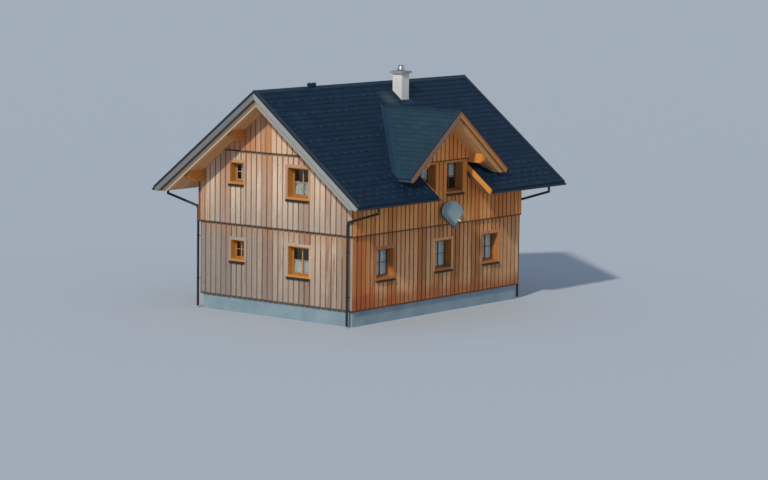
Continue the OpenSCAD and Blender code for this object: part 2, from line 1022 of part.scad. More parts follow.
// a flat rail, screwed to the frame at both ends, carries each curtain
module curtain_rails() {
  rail_h = 18;
  color([0.80, 0.80, 0.80])
    for (v = all_windows)
      if (v[7] > 0)
        place_window(v)
          translate([-v[3] / 2 + lining_t + 4, frame_set + frame_d,
            sill_board_t + frame_w + v[7] * pane_h(v)]) {
            translate([0, curtain_gap - 2, 0])
              cube([v[3] - 2 * lining_t - 8, curtain_t + 4, rail_h]);
            for (x = [0, v[3] - 2 * lining_t - 8 - 24])
              translate([x, 0, 0])
                cube([24, curtain_gap, rail_h]);
          }
}

// entrance

module door_frame() {
  color([0.40, 0.27, 0.18])
    at_side(back_turn, half_w)
      translate([door_x, 0, ground_floor_z])
        difference() {
          translate([-door_w / 2, 0, 0])
            cube([door_w, frame_set, door_h]);
          translate([-door_w / 2 + frame_w, -1, -1])
            cube([door_w - 2 * frame_w, frame_set + 2, door_h - frame_w + 1]);
        }
}

module entrance_door() {
  color([0.34, 0.22, 0.14])
    at_side(back_turn, half_w)
      translate([door_x - door_w / 2 + frame_w, frame_set - door_t - 40, ground_floor_z])
        cube([door_w - 2 * frame_w, door_t, door_h - frame_w]);
}

module entrance_steps() {
  rise = ground_floor_z / rises;
  color([0.56, 0.57, 0.57])
    at_side(back_turn, half_w)
      translate([door_x - landing_w / 2, 0, 0])
        along_x(0, landing_w)
          union() {
            translate([-landing_d, 0])
              square([landing_d + plinth_back, plinth_h]);
            translate([-landing_d, 0])
              square([landing_d, ground_floor_z]);
            for (i = [1 : rises - 1])
              translate([-landing_d - i * going, 0])
                square([i * going + 10, ground_floor_z - i * rise]);
          }
}

// chimney and vent

module chimney_stack() {
  color([0.80, 0.80, 0.77])
    difference() {
      translate([stack_x - stack_w / 2, stack_y - stack_w / 2, 0])
        cube([stack_w, stack_w, ridge_z + stack_rise]);
      along_x(-far / 2, far / 2)
        under_slopes(under_z, roof_reach, -far);
    }
}

module chimney_cap() {
  side = stack_w + 2 * cap_edge;
  color([0.60, 0.62, 0.60])
    translate([stack_x - side / 2, stack_y - side / 2, ridge_z + stack_rise])
      difference() {
        cube([side, side, cap_t]);
        translate([side / 2, side / 2, cap_t / 2])
          cylinder(r = flue_r, h = cap_t, $fn = 48);
      }
}

// a short collar on the cap carries a pipe that narrows towards its rolled rim
module chimney_flue() {
  low = cap_t / 2;
  color([0.70, 0.71, 0.72])
    translate([stack_x, stack_y, ridge_z + stack_rise + low])
      rotate_extrude($fn = 48)
        polygon([
          [flue_r - flue_t, 0],
          [flue_r, 0],
          [flue_r, low],
          [flue_r + flue_collar, low],
          [flue_r + flue_collar, low + 22],
          [flue_r, low + 30],
          [flue_r, low + 70],
          [flue_top_r, low + flue_h - 26],
          [flue_top_r + 8, low + flue_h - 20],
          [flue_top_r + 8, low + flue_h],
          [flue_top_r - flue_t, low + flue_h],
          [flue_top_r - flue_t, low + flue_h - 26],
          [flue_r - flue_t, low + 70]
        ]);
}

module chimney_flashing() {
  apron = 140;
  color([0.18, 0.20, 0.22])
    difference() {
      intersection() {
        along_x(stack_x - stack_w / 2 - apron, stack_x + stack_w / 2 + apron)
          mirror([1, 0])
            slope(ridge_z + metal_t / cos(pitch), slope_l, 0, metal_t);
        translate([0, stack_y - stack_w / 2 - apron - 60, 0])
          cube([2 * stack_x, stack_w + 2 * apron, far]);
      }
      stack_hole();
    }
}

// two capped pipes stand on a saddle over the ridge cap
module ridge_vent() {
  saddle_z = ridge_z + 2 * metal_t / cos(pitch);
  saddle_x = vent_gap / 2 + vent_r + 75;
  color([0.10, 0.12, 0.14]) {
    difference() {
      for (s = [-1, 1])
        translate([vent_x + s * vent_gap / 2, 0, ridge_z - 120])
          cylinder(r = vent_r, h = 120 + vent_h, $fn = 32);
      along_x(-far / 2, far / 2)
        under_slopes(saddle_z - 1, half_w, -far);
    }
    for (s = [-1, 1])
      translate([vent_x + s * vent_gap / 2, 0, ridge_z + vent_h])
        rotate_extrude($fn = 32)
          polygon([
            [0, -4],
            [vent_r + vent_lip, -4],
            [vent_r + vent_lip, vent_cap_h * 0.35],
            [vent_r * 0.95, vent_cap_h * 0.65],
            [vent_r * 0.65, vent_cap_h * 0.9],
            [0, vent_cap_h]
          ]);
    along_x(vent_x - saddle_x, vent_x + saddle_x)
      both_slopes(saddle_z, ridge_leg + 60, 0, metal_t);
  }
}

// gutters and downpipes

// the back rim of each gutter is seated on the face of the eaves board
gutter_z = ridge_z - (half_w + eaves_over) * tan(pitch) - 80;
board_run = slope_l + eaves_board_t;
board_face_y = board_run * cos(pitch) - (ridge_z - board_run * sin(pitch) - gutter_z) * tan(pitch);
gutter_y = board_face_y + gutter_r + seat_gap;

module gutter_run(x0, x1) {
  along_x(x0, x1)
    difference() {
      circle(r = gutter_r, $fn = 48);
      circle(r = gutter_r - sheet_t, $fn = 48);
      translate([-200, 0])
        square([400, 200]);
    }
  for (x = [x0, x1 - sheet_t])
    along_x(x, x + sheet_t)
      difference() {
        circle(r = gutter_r - sheet_t, $fn = 48);
        translate([-200, 0])
          square([400, 200]);
      }
}

module gutters() {
  color([0.14, 0.15, 0.16]) {
    translate([0, -gutter_y, gutter_z]) {
      gutter_run(-roof_half_l + 20, -cut_x);
      gutter_run(cut_x, roof_half_l - 20);
    }
    translate([0, gutter_y, gutter_z])
      gutter_run(-roof_half_l + 20, roof_half_l - 20);
  }
}

module tube(a, b) {
  d = b - a;
  len = norm(d);
  translate(a)
    rotate([0, acos(d[2] / len), atan2(d[1], d[0])])
      cylinder(r = pipe_r, h = len, $fn = 32);
}

// a downpipe falls from the gutter, runs back under the eaves and goes down,
// with a wider sleeve at each bend
module downpipe(points) {
  for (i = [0 : len(points) - 2])
    tube(points[i], points[i + 1]);
  for (i = [1 : len(points) - 2])
    translate(points[i])
      sphere(r = pipe_r + 6, $fn = 32);
}

module pipe_clip(at, toward, reach) {
  translate([at[0], at[1], at[2] - 15]) {
    cylinder(r = pipe_r + 8, h = 30, $fn = 32);
    rotate([0, 0, toward])
      translate([0, -8, 0])
        cube([reach, 16, 30]);
  }
}

module downpipes() {
  gable_x = half_l + upper_out + pipe_gap + pipe_r;
  wall_y = half_w - pipe_in;
  back_y = half_w + upper_out + pipe_gap + pipe_r;
  back_x = half_l - pipe_r;
  clip_heights = [plinth_h * 2, storey_z - plinth_h];
  color([0.14, 0.15, 0.16])
    for (s = [-1, 1]) {
      downpipe([
        [s * gable_x, -gutter_y, gutter_z - gutter_r + sheet_t],
        [s * gable_x, -gutter_y, gutter_z - gutter_r - pipe_drop],
        [s * gable_x, -wall_y - pipe_bend, pipe_bend_z + pipe_bend],
        [s * gable_x, -wall_y, pipe_bend_z - pipe_bend],
        [s * gable_x, -wall_y, pipe_foot_z]
      ]);
      for (z = clip_heights)
        pipe_clip([s * gable_x, -wall_y, z], s > 0 ? 180 : 0, gable_x - half_l);
      downpipe([
        [s * (half_l + back_outlet), gutter_y, gutter_z - gutter_r + sheet_t],
        [s * (half_l + back_outlet), gutter_y, gutter_z - gutter_r - pipe_drop],
        [s * back_x, back_y + pipe_bend, pipe_bend_z + pipe_bend],
        [s * back_x, back_y, pipe_bend_z - pipe_bend],
        [s * back_x, back_y, pipe_foot_z]
      ]);
      for (z = clip_heights)
        pipe_clip([s * back_x, back_y, z], -90, back_y - half_w);
    }
}

// satellite dish

dish_y = -(half_w + upper_out + dish_out);

module dish_frame() {
  translate([dish_x, dish_y, dish_z])
    rotate([0, 0, -dish_turn])
      rotate([90 - dish_lean, 0, 0])
        children();
}

// a half round runs down into a point
module dish_outline() {
  arc_steps = 24;
  polygon(concat(
    [for (i = [0 : arc_steps]) dish_w / 2 * [cos(180 * i / arc_steps), sin(180 * i / arc_steps)]],
    [[0, -dish_tip]]
  ));
}

function dish_depth(r) = dish_deep * (1 - pow(2 * r / dish_w, 2));

// a shallow shell; its open side looks along the frame's +Z
module dish_reflector() {
  rings = 10;
  steps = [for (i = [0 : rings]) i / rings * (dish_tip + 20)];
  color([0.36, 0.42, 0.46])
    dish_frame()
      intersection() {
        rotate_extrude($fn = 48)
          polygon(concat(
            [for (r = steps) [r, -dish_depth(r)]],
            [for (i = [rings : -1 : 0]) [steps[i], -dish_depth(steps[i]) - dish_skin]]
          ));
        translate([0, 0, -dish_w / 2])
          linear_extrude(dish_w)
            dish_outline();
      }
}

// the arm is hooked under the point and carries the receiver in front
module dish_arm() {
  hook_r = dish_tip - 50;
  under = dish_depth(hook_r) + dish_skin + seat_gap;
  run = arm_rise + 36;
  rise = arm_reach + under + 14;
  lift = atan2(rise, run);
  color([0.30, 0.33, 0.36])
    dish_frame() {
      translate([-18, -dish_tip - 50, -under - 28])
        cube([36, 100, 28]);
      translate([0, -dish_tip - 36, -under - 14])
        rotate([lift - 90, 0, 0])
          translate([-13, -13, 0])
            cube([26, 26, norm([run, rise])]);
      translate([0, -dish_tip + arm_rise, arm_reach])
        rotate([25, 0, 0])
          cylinder(r = 38, h = 130, $fn = 24, center = true);
    }
}

// a wall arm and a short mast; the reflector's back is clamped to the mast
module dish_bracket() {
  wall = -(half_w + upper_out);
  back = dish_deep + dish_skin + 55;
  mast_x = dish_x + back * sin(dish_turn) * cos(dish_lean);
  mast_y = dish_y + back * cos(dish_turn) * cos(dish_lean);
  mast_z = dish_z - 240;
  color([0.30, 0.33, 0.36]) {
    translate([mast_x - 70, wall - 10, mast_z - 110])
      cube([140, 10, 260]);
    translate([mast_x, wall, mast_z + 20])
      rotate([90, 0, 0])
        cylinder(r = 22, h = wall - mast_y, $fn = 24);
    translate([mast_x, mast_y, mast_z - 10])
      cylinder(r = 25, h = 270, $fn = 24);
    dish_frame()
      translate([-55, -90, -dish_deep - dish_skin - seat_gap - 110])
        cube([110, 180, 110]);
  }
}

foundation_slab();
plinth();
ground_floor();
upper_floor();
front_wall_lower();
back_wall_lower();
left_gable_lower();
right_gable_lower();
front_wall_upper();
back_wall_upper();
left_gable_upper();
right_gable_upper();
dormer_cheeks();
lower_boards_long_sides();
lower_boards_gables();
upper_boards_long_sides();
upper_boards_gables();
top_boards();
eaves_purlins();
middle_purlins();
dormer_purlins();
front_roof_deck();
back_roof_deck();
dormer_roof_deck();
front_roof_tiles();
back_roof_tiles();
dormer_roof_tiles();
ridge_caps();
valley_flashings();
verge_boards();
dormer_verge_boards();
roof_cut_boards();
eaves_boards();
window_linings();
window_frames();
window_glass();
window_sills();
curtains();
curtain_rails();
entrance_door();
door_frame();
entrance_steps();
chimney_stack();
chimney_cap();
chimney_flue();
chimney_flashing();
ridge_vent();
gutters();
downpipes();
dish_reflector();
dish_arm();
dish_bracket();
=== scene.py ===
import math
from functools import partial

import bpy
import numpy as np
from mathutils import Matrix, Vector


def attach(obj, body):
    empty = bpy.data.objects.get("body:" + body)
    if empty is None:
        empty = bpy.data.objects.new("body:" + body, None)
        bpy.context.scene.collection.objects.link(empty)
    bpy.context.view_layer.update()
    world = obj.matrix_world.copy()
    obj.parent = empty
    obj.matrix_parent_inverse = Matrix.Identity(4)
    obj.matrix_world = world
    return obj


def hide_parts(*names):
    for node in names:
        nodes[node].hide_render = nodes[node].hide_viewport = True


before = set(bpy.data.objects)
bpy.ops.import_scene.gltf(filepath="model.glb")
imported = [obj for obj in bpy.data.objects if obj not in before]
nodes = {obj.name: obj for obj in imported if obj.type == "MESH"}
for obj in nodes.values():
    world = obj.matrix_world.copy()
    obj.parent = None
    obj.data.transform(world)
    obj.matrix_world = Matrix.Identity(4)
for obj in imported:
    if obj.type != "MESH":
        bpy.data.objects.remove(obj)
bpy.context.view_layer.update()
print("frame loaded:", len(nodes), "nodes")

# the house, in metres; +X runs along the ridge and the front faces -Y
house = dict(
    halfLength=5.5,
    halfWidth=4.0,
    plinthTop=0.6,
    storeyLine=3.55,
    gableLine=6.54,
    dormerLine=6.17,
    stepOut=0.07,
    pitch=math.radians(38),
    ridge=9.1401,
    roofHalf=6.88,
    eavesReach=5.34,
    deckDepth=0.385,
    dormerRidge=8.2903,
    dormerReach=3.25,
    dormerHalf=1.75,
    dormerFront=-5.02,
    cutLine=1.785,
)
slopeCos, slopeSin = math.cos(house["pitch"]), math.sin(house["pitch"])
valleyTop = -(house["ridge"] - house["dormerRidge"]) * slopeCos / slopeSin  # the dormer's ridge ends there


# adds any node and gives back the output that is wanted; inputs go by name or number and are values or
# links; those of MapRange are the value, from min, from max, to min and to max
def addNode(tree, kind, inputs=(), out=0, stops=(), **settings):
    made = tree.nodes.new("ShaderNode" + kind)
    for key, value in settings.items():
        setattr(made, key, value)
    for place, shade in stops[2:]:  # a ramp starts with two stops
        made.color_ramp.elements.new(place)
    if stops:
        for element, (place, shade) in zip(made.color_ramp.elements, stops):
            element.position = place
            element.color = linear(shade)
    for key, value in inputs.items() if isinstance(inputs, dict) else enumerate(inputs):
        if isinstance(value, bpy.types.NodeSocket):
            link(value, made.inputs[key])
        else:
            made.inputs[key].default_value = value
    return made.outputs[out]


def link(socket, goal):
    goal.id_data.links.new(socket, goal)


def linear(shade):
    parts = [int(shade[i:i + 2], 16) / 255 for i in (1, 3, 5)]
    return tuple(p / 12.92 if p <= 0.04045 else ((p + 0.055) / 1.055) ** 2.4 for p in parts) + (1.0,)


def startMaterial(name, settings):
    material = bpy.data.materials.new(name)
    material.use_nodes = True
    shader = material.node_tree.nodes["Principled BSDF"]
    for key, value in settings.items():
        shader.inputs[key].default_value = value
    return material, shader, partial(addNode, material.node_tree)


# grain lines of 1 to 2 mm are drawn 6 mm wide so that they show; streaks are 45 mm wide, knots 20 to 30 mm
timber = dict(
    grain=0.006, grainRange=(0.3, 0.62), brightest=1.06, streak=0.045, lengthwise=0.03, boardShift=37.0,
    patch=0.55, patchMiddle=0.7, boardPatch=0.4, gap=(3.1, 3.1, 0.25), gapRange=(0.35, 0.6),
    knot=(6.0, 6.0, 3.2), knotEdge=(0.06, 0.13), bump=0.35, bumpDepth=0.002)


# wood: rough and dull, streaked along the grain, each board its own tone
def woodMaterial(look):
    material, shader, add = startMaterial(look["name"], {"Roughness": look.get("roughness", 0.75)})
    own = add("TexCoord", out="Object")
    parts = add("SeparateXYZ", [own]).node.outputs
    place, way = own, look.get("grain", "Z")
    if way.endswith("Slope"):  # boards that lie along a slope: distance down it, and across it
        side, along = (1, 0) if way == "ySlope" else (0, 1)
        level = add("Math", [parts[side]], operation="ABSOLUTE")
        down = add("Math", (level, slopeCos), operation="MULTIPLY")
        down = add("Math", (parts[2], -slopeSin, down), operation="MULTIPLY_ADD")
        deep = add("Math", (level, slopeSin), operation="MULTIPLY")
        deep = add("Math", (parts[2], slopeCos, deep), operation="MULTIPLY_ADD")
        place = add("CombineXYZ", (parts[along], deep, down))
    tone = add("Attribute", attribute_name="tone", out="Fac")
    shift = add("Math", (tone, timber["boardShift"]), operation="MULTIPLY")
    moved = add("VectorMath", (place, shift), operation="ADD")
    thin = timber["lengthwise"]
    stretch = {"X": (thin, 1, 1), "Y": (1, thin, 1)}.get(way, (1, 1, thin))
    fine, broad = 1 / timber["grain"], 1 / look.get("streak", timber["streak"])
    grainPlace = add("Mapping", {"Vector": moved, "Scale": [s * fine for s in stretch]})
    streakPlace = add("Mapping", {"Vector": moved, "Scale": [s * broad for s in stretch]})
    grain = add("TexNoise", {
        "Vector": grainPlace, "Scale": 1.0, "Detail": 4.0, "Roughness": 0.6, "Distortion": 0.3})
    streak = add("TexNoise", {
        "Vector": streakPlace, "Scale": 1.0, "Detail": 3.0, "Roughness": 0.55})
    patch = add("TexNoise", {"Vector": own, "Scale": timber["patch"], "Detail": 3.0})
    patch = add("Math", (tone, timber["boardPatch"], patch), operation="MULTIPLY_ADD")
    mixed = add("Math", (streak, look.get("streaks", 0.5), tone), operation="MULTIPLY_ADD")
    stops = list(zip(look.get("places", (0.1, 0.5, 0.9, 1.0)), look["tones"].split()))
    base = add("ValToRGB", [mixed], stops=stops)
    for axis, none, full, shade, share, ragged in look.get("fades", ()):  # from sun and rain, and some that are painted shade and painted sunlight
        spot = parts["XYZ".index(axis[-1])]
        if axis.startswith("off"):
            spot = add("Math", [spot], operation="ABSOLUTE")
        spot = add("Math", (patch, ragged, spot), operation="MULTIPLY_ADD")
        middle = ragged * timber["patchMiddle"]
        amount = add("MapRange", (spot, none + middle, full + middle, 0.0, share))
        base = add("Mix", {0: amount, 6: base, 7: linear(shade)}, 2, data_type="RGBA")
    if "grooveShadeAndDirt" in look:  # painted shade and dirt on the layer behind the outer boards, deeper in some gaps than in others
        under = add("Attribute", attribute_name="under", out="Fac")
        gapPlace = add("Mapping", {"Vector": own, "Scale": timber["gap"]})
        gap = add("TexNoise", {"Vector": gapPlace, "Scale": 1.0, "Detail": 1.0})
        gap = add("MapRange", (gap, *timber["gapRange"], look.get("leastGrooveShade", 0.6)))
        under = add("Math", (under, gap), operation="MULTIPLY")
        base = add("Mix", {0: under, 6: base, 7: linear(look["grooveShadeAndDirt"])}, 2, data_type="RGBA")
    dark = add("MapRange", (
        grain, *timber["grainRange"], look.get("grainDepth", 0.75), timber["brightest"]))
    if "knots" in look:
        knotPlace = add("Mapping", {"Vector": moved, "Scale": timber["knot"]})
        away = add("TexVoronoi", {"Vector": knotPlace, "Scale": 1.0})
        knot = add("MapRange", (away, *timber["knotEdge"], look["knots"]))
        dark = add("Math", (dark, knot), operation="MULTIPLY")
    shaded = add("VectorMath", {0: base, "Scale": dark}, operation="SCALE")
    link(shaded, shader.inputs["Base Color"])
    bump = add("Bump", {
        "Strength": timber["bump"], "Distance": timber["bumpDepth"], "Height": grain})
    link(bump, shader.inputs["Normal"])
    return material


# dust is thickest in its centre and thins out towards its radius, ragged from the grit and the clouds
coating = dict(dustGrit=1.6, dustFull=1.3, dustNone=2.3, cloudRange=(0.3, 0.7))


# coated sheet, render and paint: an even colour that clouds a little, with a fine tooth in the gloss
def coatMaterial(look):
    rough = look.get("roughness", 0.5)
    settings = {"Roughness": rough, "Metallic": look.get("metallic", 0.0)}
    if "gloss" in look:
        settings["Specular IOR Level"] = look["gloss"]
    material, shader, add = startMaterial(look["name"], settings)
    place = add("TexCoord", out="Object")
    tone = add("Attribute", attribute_name="tone", out="Fac")
    cloud = add("TexNoise", {
        "Vector": place, "Scale": 1 / look["cloudSize"], "Detail": 5.0, "Roughness": 0.6})
    grit = add("TexNoise", {"Vector": place, "Scale": 1 / look.get("gritSize", 0.003), "Detail": 2.0})
    mixed = add("Math", (tone, look.get("tonePart", 0.5), cloud), operation="MULTIPLY_ADD")
    stops = list(zip(look.get("places", coating["cloudRange"]), look["tones"].split()))
    shades = add("ValToRGB", [mixed], stops=stops)
    if "dust" in look:
        centre, radius, shade, share = look["dust"]
        away = add("VectorMath", (place, centre), "Value", operation="DISTANCE")
        worn = add("Math", (grit, radius * coating["dustGrit"], away), operation="MULTIPLY_ADD")
        worn = add("Math", (cloud, radius, worn), operation="MULTIPLY_ADD")
        none, full = radius * coating["dustNone"], radius * coating["dustFull"]
        amount = add("MapRange", (worn, none, full, 0.0, share))
        shades = add("Mix", {0: amount, 6: shades, 7: linear(shade)}, 2, data_type="RGBA")
    link(shades, shader.inputs["Base Color"])
    if "glossSpread" in look:
        low, high = rough - look["glossSpread"], rough + look["glossSpread"]
        gloss = add("MapRange", (cloud, *coating["cloudRange"], low, high))
        link(gloss, shader.inputs["Roughness"])
    bump = add("Bump", {
        "Strength": look.get("tooth", 0.2), "Distance": look.get("toothDepth", 0.0005), "Height": grit})
    link(bump, shader.inputs["Normal"])
    return material


# a fade is axis, where it starts, where it is full, colour, share and raggedness; "off" is the distance
# from the middle of the house; the last fade of each band is wet end grain and painted shadow at the drip
sawn = dict(streaks=0.8, knots=0.6, grainDepth=0.62)
bleached = dict(sawn, places=(0.1, 0.45, 0.9, 1.0), knots=0.7, leastGrooveShade=0.3, grainDepth=0.6)
planed = dict(places=(0.1, 0.5, 1.0), grainDepth=0.82, roughness=0.6, streaks=0.4)
joinery = dict(grainDepth=0.85, roughness=0.4)
wood = {key: woodMaterial(look) for key, look in dict(
    # sawn larch on the front: orange low down and at the left end, partly splashed up by rain and partly
    # painted sunlight where the sun falls; golden in the shelter of the eaves
    frontLower=dict(
        sawn, name="sawnLarchFrontLower", tones="#ac6835 #d2945b #f2bc88 #b87642", grooveShadeAndDirt="#4a2a16",
        fades=[("X", 3.0, 4.6, "#dcb68c", 0.5, 1.0), ("X", -3.8, -4.7, "#c0601a", 0.6, 0.8),
               ("Z", 1.3, 0.85, "#a24a10", 0.66, 0.8), ("Z", 2.6, 3.4, "#c87c3e", 0.4, 1.0),
               ("Z", 0.68, 0.64, "#2a180e", 0.85, 0.02)]),
    frontUpper=dict(
        sawn, name="sawnLarchFrontUpper", tones="#c67736 #e29a50 #efb068 #d28242", grooveShadeAndDirt="#50301b",
        fades=[("Z", 3.9, 5.2, "#e08430", 0.6, 1.0), ("Z", 3.63, 3.59, "#26150a", 0.85, 0.02)]),
    dormerTop=dict(
        sawn, name="sawnLarchDormerTop", tones="#e0843a #ea9648 #efa75c #e48c3e", grooveShadeAndDirt="#5c3018",
        fades=[("Z", 6.24, 6.21, "#2c180b", 0.8, 0.02)], grainDepth=0.66, streaks=0.7),
    # sawn larch on the weather side: bleached to silver and rose, still warm under the roof; high up at the
    # back it is painted browner as shade under the back verge, and the top is painted paler in front as
    # sunlight
    gableLower=dict(
        bleached, name="sawnLarchGableLower", tones="#8d7665 #b39983 #d9c4ae #a8846c", grooveShadeAndDirt="#5a4637",
        fades=[("Y", -2.2, 2.6, "#8a8785", 0.65, 1.0), ("Z", 2.7, 0.9, "#8c8682", 0.45, 1.0),
               ("Z", 3.0, 3.5, "#c48c5c", 0.5, 0.6), ("Z", 0.69, 0.65, "#33281f", 0.85, 0.02)]),
    gableUpper=dict(
        bleached, name="sawnLarchGableUpper", tones="#aa8c76 #cfb095 #f0dcc4 #c6a088", grooveShadeAndDirt="#66503f",
        fades=[("Z", 5.3, 3.8, "#9a938d", 0.55, 1.0), ("Z", 5.7, 6.5, "#d69c6a", 0.4, 0.6),
               # painted shade: browner at the back edge, under the back verge
               ("Y", 3.1, 4.1, "#d08e58", 0.5, 0.8), ("Z", 3.64, 3.60, "#2a1f17", 0.92, 0.02)]),
    gableTop=dict(
        bleached, name="sawnLarchGableTop", tones="#c7966c #dcb48a #eed2b4 #cb9c72", grooveShadeAndDirt="#7a5238",
        leastGrooveShade=0.4, grainDepth=0.64, streaks=0.7,
        # painted shade on the back half of the top and painted sunlight on its paler front half
        fades=[("Y", -0.5, -2.5, "#cdb49c", 0.5, 1.0), ("Y", 0.0, 1.2, "#c0733a", 0.6, 0.6),
               ("Z", 6.63, 6.59, "#2c1e12", 0.9, 0.02)]),
    # planed spruce out of the rain: smooth, even and honey-coloured
    soffit=dict(planed, name="planedSpruceSoffit", grain="ySlope", tones="#bf8248 #d29a60 #dfae78"),
    dormerSoffit=dict(
        planed, name="planedSpruceDormer", grain="xSlope", tones="#c98b50 #dca163 #e6b278"),
    # spruce rim boards: grey where rain reaches them, brown on the inner board, paler on the sunny slope
    verge=dict(
        name="spruceVergeGreyed", grain="ySlope", tones="#747474 #8a8a8a #9b9a98", grainDepth=0.6,
        fades=[("offX", 6.81, 6.77, "#86756a", 0.85, 0.02), ("Y", 0.05, -0.05, "#aeb2b3", 0.75, 0.02)]),
    batten=dict(
        name="spruceBattenBright", grain="ySlope", tones="#d9bd9a #e2c8a6 #e8d2b4", grainDepth=0.85,
        fades=[("Y", 0.05, -0.05, "#a8a49c", 0.9, 0.02)]),
    dormerVerge=dict(
        name="spruceVergeWarm", grain="xSlope", tones="#c8905a #d8a670 #e2b684",
        fades=[("Y", -4.95, -4.98, "#ac7040", 0.55, 0.02), ("X", 0.05, -0.05, "#7c6a5f", 0.75, 0.02)]),
    dormerBatten=dict(
        name="spruceBattenReddish", grain="xSlope", tones="#a8632f #b8723c #c28148",
        fades=[("X", 0.05, -0.05, "#8a7064", 0.6, 0.02)]),
    cutEnd=dict(name="spruceCutEndBoard", grain="ySlope", tones="#d8933c #e3a452 #ecb46c", grainDepth=0.8),
    # a dark board below the cut-end boards, its colour painted shade
    cutEndShade=dict(name="larchCutEndPaintedShade", grain="ySlope", tones="#5e3c20 #70482a #7e5634"),
    eaves=dict(name="spruceEavesGreyed", grain="X", tones="#9a7a58 #b08d66 #c09e78"),
    # sawn spruce beams: wide soft streaks, amber in the shade
    purlin=dict(
        name="spruceBeamSawn", grain="X", tones="#c8803a #d7924a #dfa25e", grainDepth=0.78, streak=0.08),
    dormerPurlin=dict(
        name="spruceBeamWarm", grain="Y", tones="#d98a3a #e49a4c #eaa960", grainDepth=0.8, streak=0.08),
    # oiled and varnished joinery: faint grain with a low sheen; the linings and frames on the long sides
    # are painted browner, and the front sashes darker, as painted shade
    lining=dict(
        name="larchLiningOiled", tones="#c6863a #d2964a #d9a35c", grainDepth=0.84, roughness=0.55,
        fades=[("offY", 3.62, 3.68, "#a2602e", 0.55, 0.02)]),
    frame=dict(
        joinery, name="larchFrameVarnished", tones="#9c6a38 #b07c42 #bb8a52", roughness=0.45,
        fades=[("offY", 3.62, 3.68, "#94582a", 0.6, 0.02)]),
    sash=dict(joinery, name="larchSashVarnished", tones="#b88a4c #c89a5a #d2a869", grainDepth=0.87),
    sashShaded=dict(joinery, name="larchSashPaintedShade", tones="#4e463f #5e554c #6a6056", roughness=0.5),
    sashPale=dict(joinery, name="larchSashPainted", tones="#bdb6a8 #cac4b7 #d3cdc1", grainDepth=0.93),
    door=dict(name="larchDoorOiled", tones="#7d5230 #93643c #a3744a", grainDepth=0.8, roughness=0.5),
    inner=dict(
        joinery, name="spruceInnerLining", grain="X", tones="#a98a66 #bb9b76 #c8aa86", roughness=0.6),
).items()}

tileSheet = dict(
    places=(0.25, 0.7, 1.0), tonePart=0.25, gloss=0.04, roughness=0.55, glossSpread=0.06, cloudSize=1.1,
    gritSize=0.004, tooth=0.25)
foldedSheet = dict(gloss=0.08, glossSpread=0.06, cloudSize=0.6, gritSize=0.004)
thinSheet = dict(glossSpread=0.06, cloudSize=0.3)
paintedDish = dict(glossSpread=0.05, cloudSize=0.4)
mineral = dict(places=(0.3, 0.55, 0.8), roughness=0.85, tooth=0.5, toothDepth=0.002)
coat = {key: coatMaterial(look) for key, look in dict(
    # aluminium roofing, coil-coated and stucco-embossed: dull soft highlights, tile by tile
    tiles=dict(tileSheet, name="aluminiumTileCoated", tones="#0d2033 #132b41 #1a354c",
               dust=((0.65, -0.85, 8.45), 0.6, "#64767e", 0.45)),  # lime washed down from the chimney
    # the dormer's small slopes are painted lighter than the main roof, as sunlight on its left slope
    dormerTilesPaintedLight=dict(tileSheet, name="aluminiumTilePaintedLight", tones="#213746 #2a4353 #334e5f"),
    # folded and rolled aluminium: smoother, with long dim highlights
    folded=dict(foldedSheet, name="aluminiumSheetFolded", tones="#12283c #1a354a"),
    valley=dict(foldedSheet, name="aluminiumValleySheet", tones="#1a3448 #234259", cloudSize=0.7),
    gutter=dict(thinSheet, name="aluminiumGutterCoated", tones="#1b2123 #252d2f", gloss=0.3,
                roughness=0.42, glossSpread=0.08, cloudSize=0.4),
    sill=dict(thinSheet, name="aluminiumSillCoated", tones="#1f1a17 #2d2622", gloss=0.3, roughness=0.45),
    edge=dict(thinSheet, name="aluminiumEdgeSheet", tones="#222f3c #2c3a48", gloss=0.1),
    drip=dict(thinSheet, name="aluminiumDripBare", tones="#414c57 #515c66", gloss=0.2),
    hook=dict(name="aluminiumHookBare", tones="#34495e #42586e", gloss=0.2, roughness=0.6, cloudSize=0.2),
    # trowelled render under masonry paint, and cast concrete: matt, gritty and slightly uneven
    plinth=dict(mineral, name="renderPlinthPainted", tones="#78909f #869eac #94abb8", cloudSize=0.9,
                gritSize=0.012),
    concrete=dict(mineral, name="concreteCast", tones="#8a8d8a #9da09c #adb0ab", roughness=0.88,
                  cloudSize=0.25, gritSize=0.01),
    stack=dict(mineral, name="renderChimneyPale", tones="#d4d9da #dde2e3 #e6eaeb", cloudSize=0.5,
               gritSize=0.006, tooth=0.4, toothDepth=0.001),
    # stainless steel, rolled bright and dulled by soot, or brushed
    flue=dict(name="stainlessSteelRolled", tones="#74787c #a4a8ac", roughness=0.3, metallic=1.0,
              glossSpread=0.06, cloudSize=0.15, gritSize=0.002, tooth=0.1),
    handle=dict(name="stainlessSteelBrushed", tones="#9ca0a4 #b8bcc0", roughness=0.35, metallic=1.0,
                cloudSize=0.05, gritSize=0.001, tooth=0.1),
    # powder coat, moulded plastic and paint: even colour with a soft shine
    dish=dict(paintedDish, name="aluminiumDishPowdered", tones="#647a86 #748a95"),
    # the dish's dark edge is partly the rim and partly painted shade at its lower left
    dishRimAndShade=dict(paintedDish, name="aluminiumDishRimAndShade", tones="#2c3a42 #394950"),
    receiver=dict(
        name="plasticReceiverPale", tones="#c2c8cc #d6dadc", roughness=0.4, cloudSize=0.1, gritSize=0.002),
    rail=dict(
        name="steelRailPainted", tones="#cfcfcc #dcdcd9", roughness=0.4, cloudSize=0.2, gritSize=0.002),
).items()}


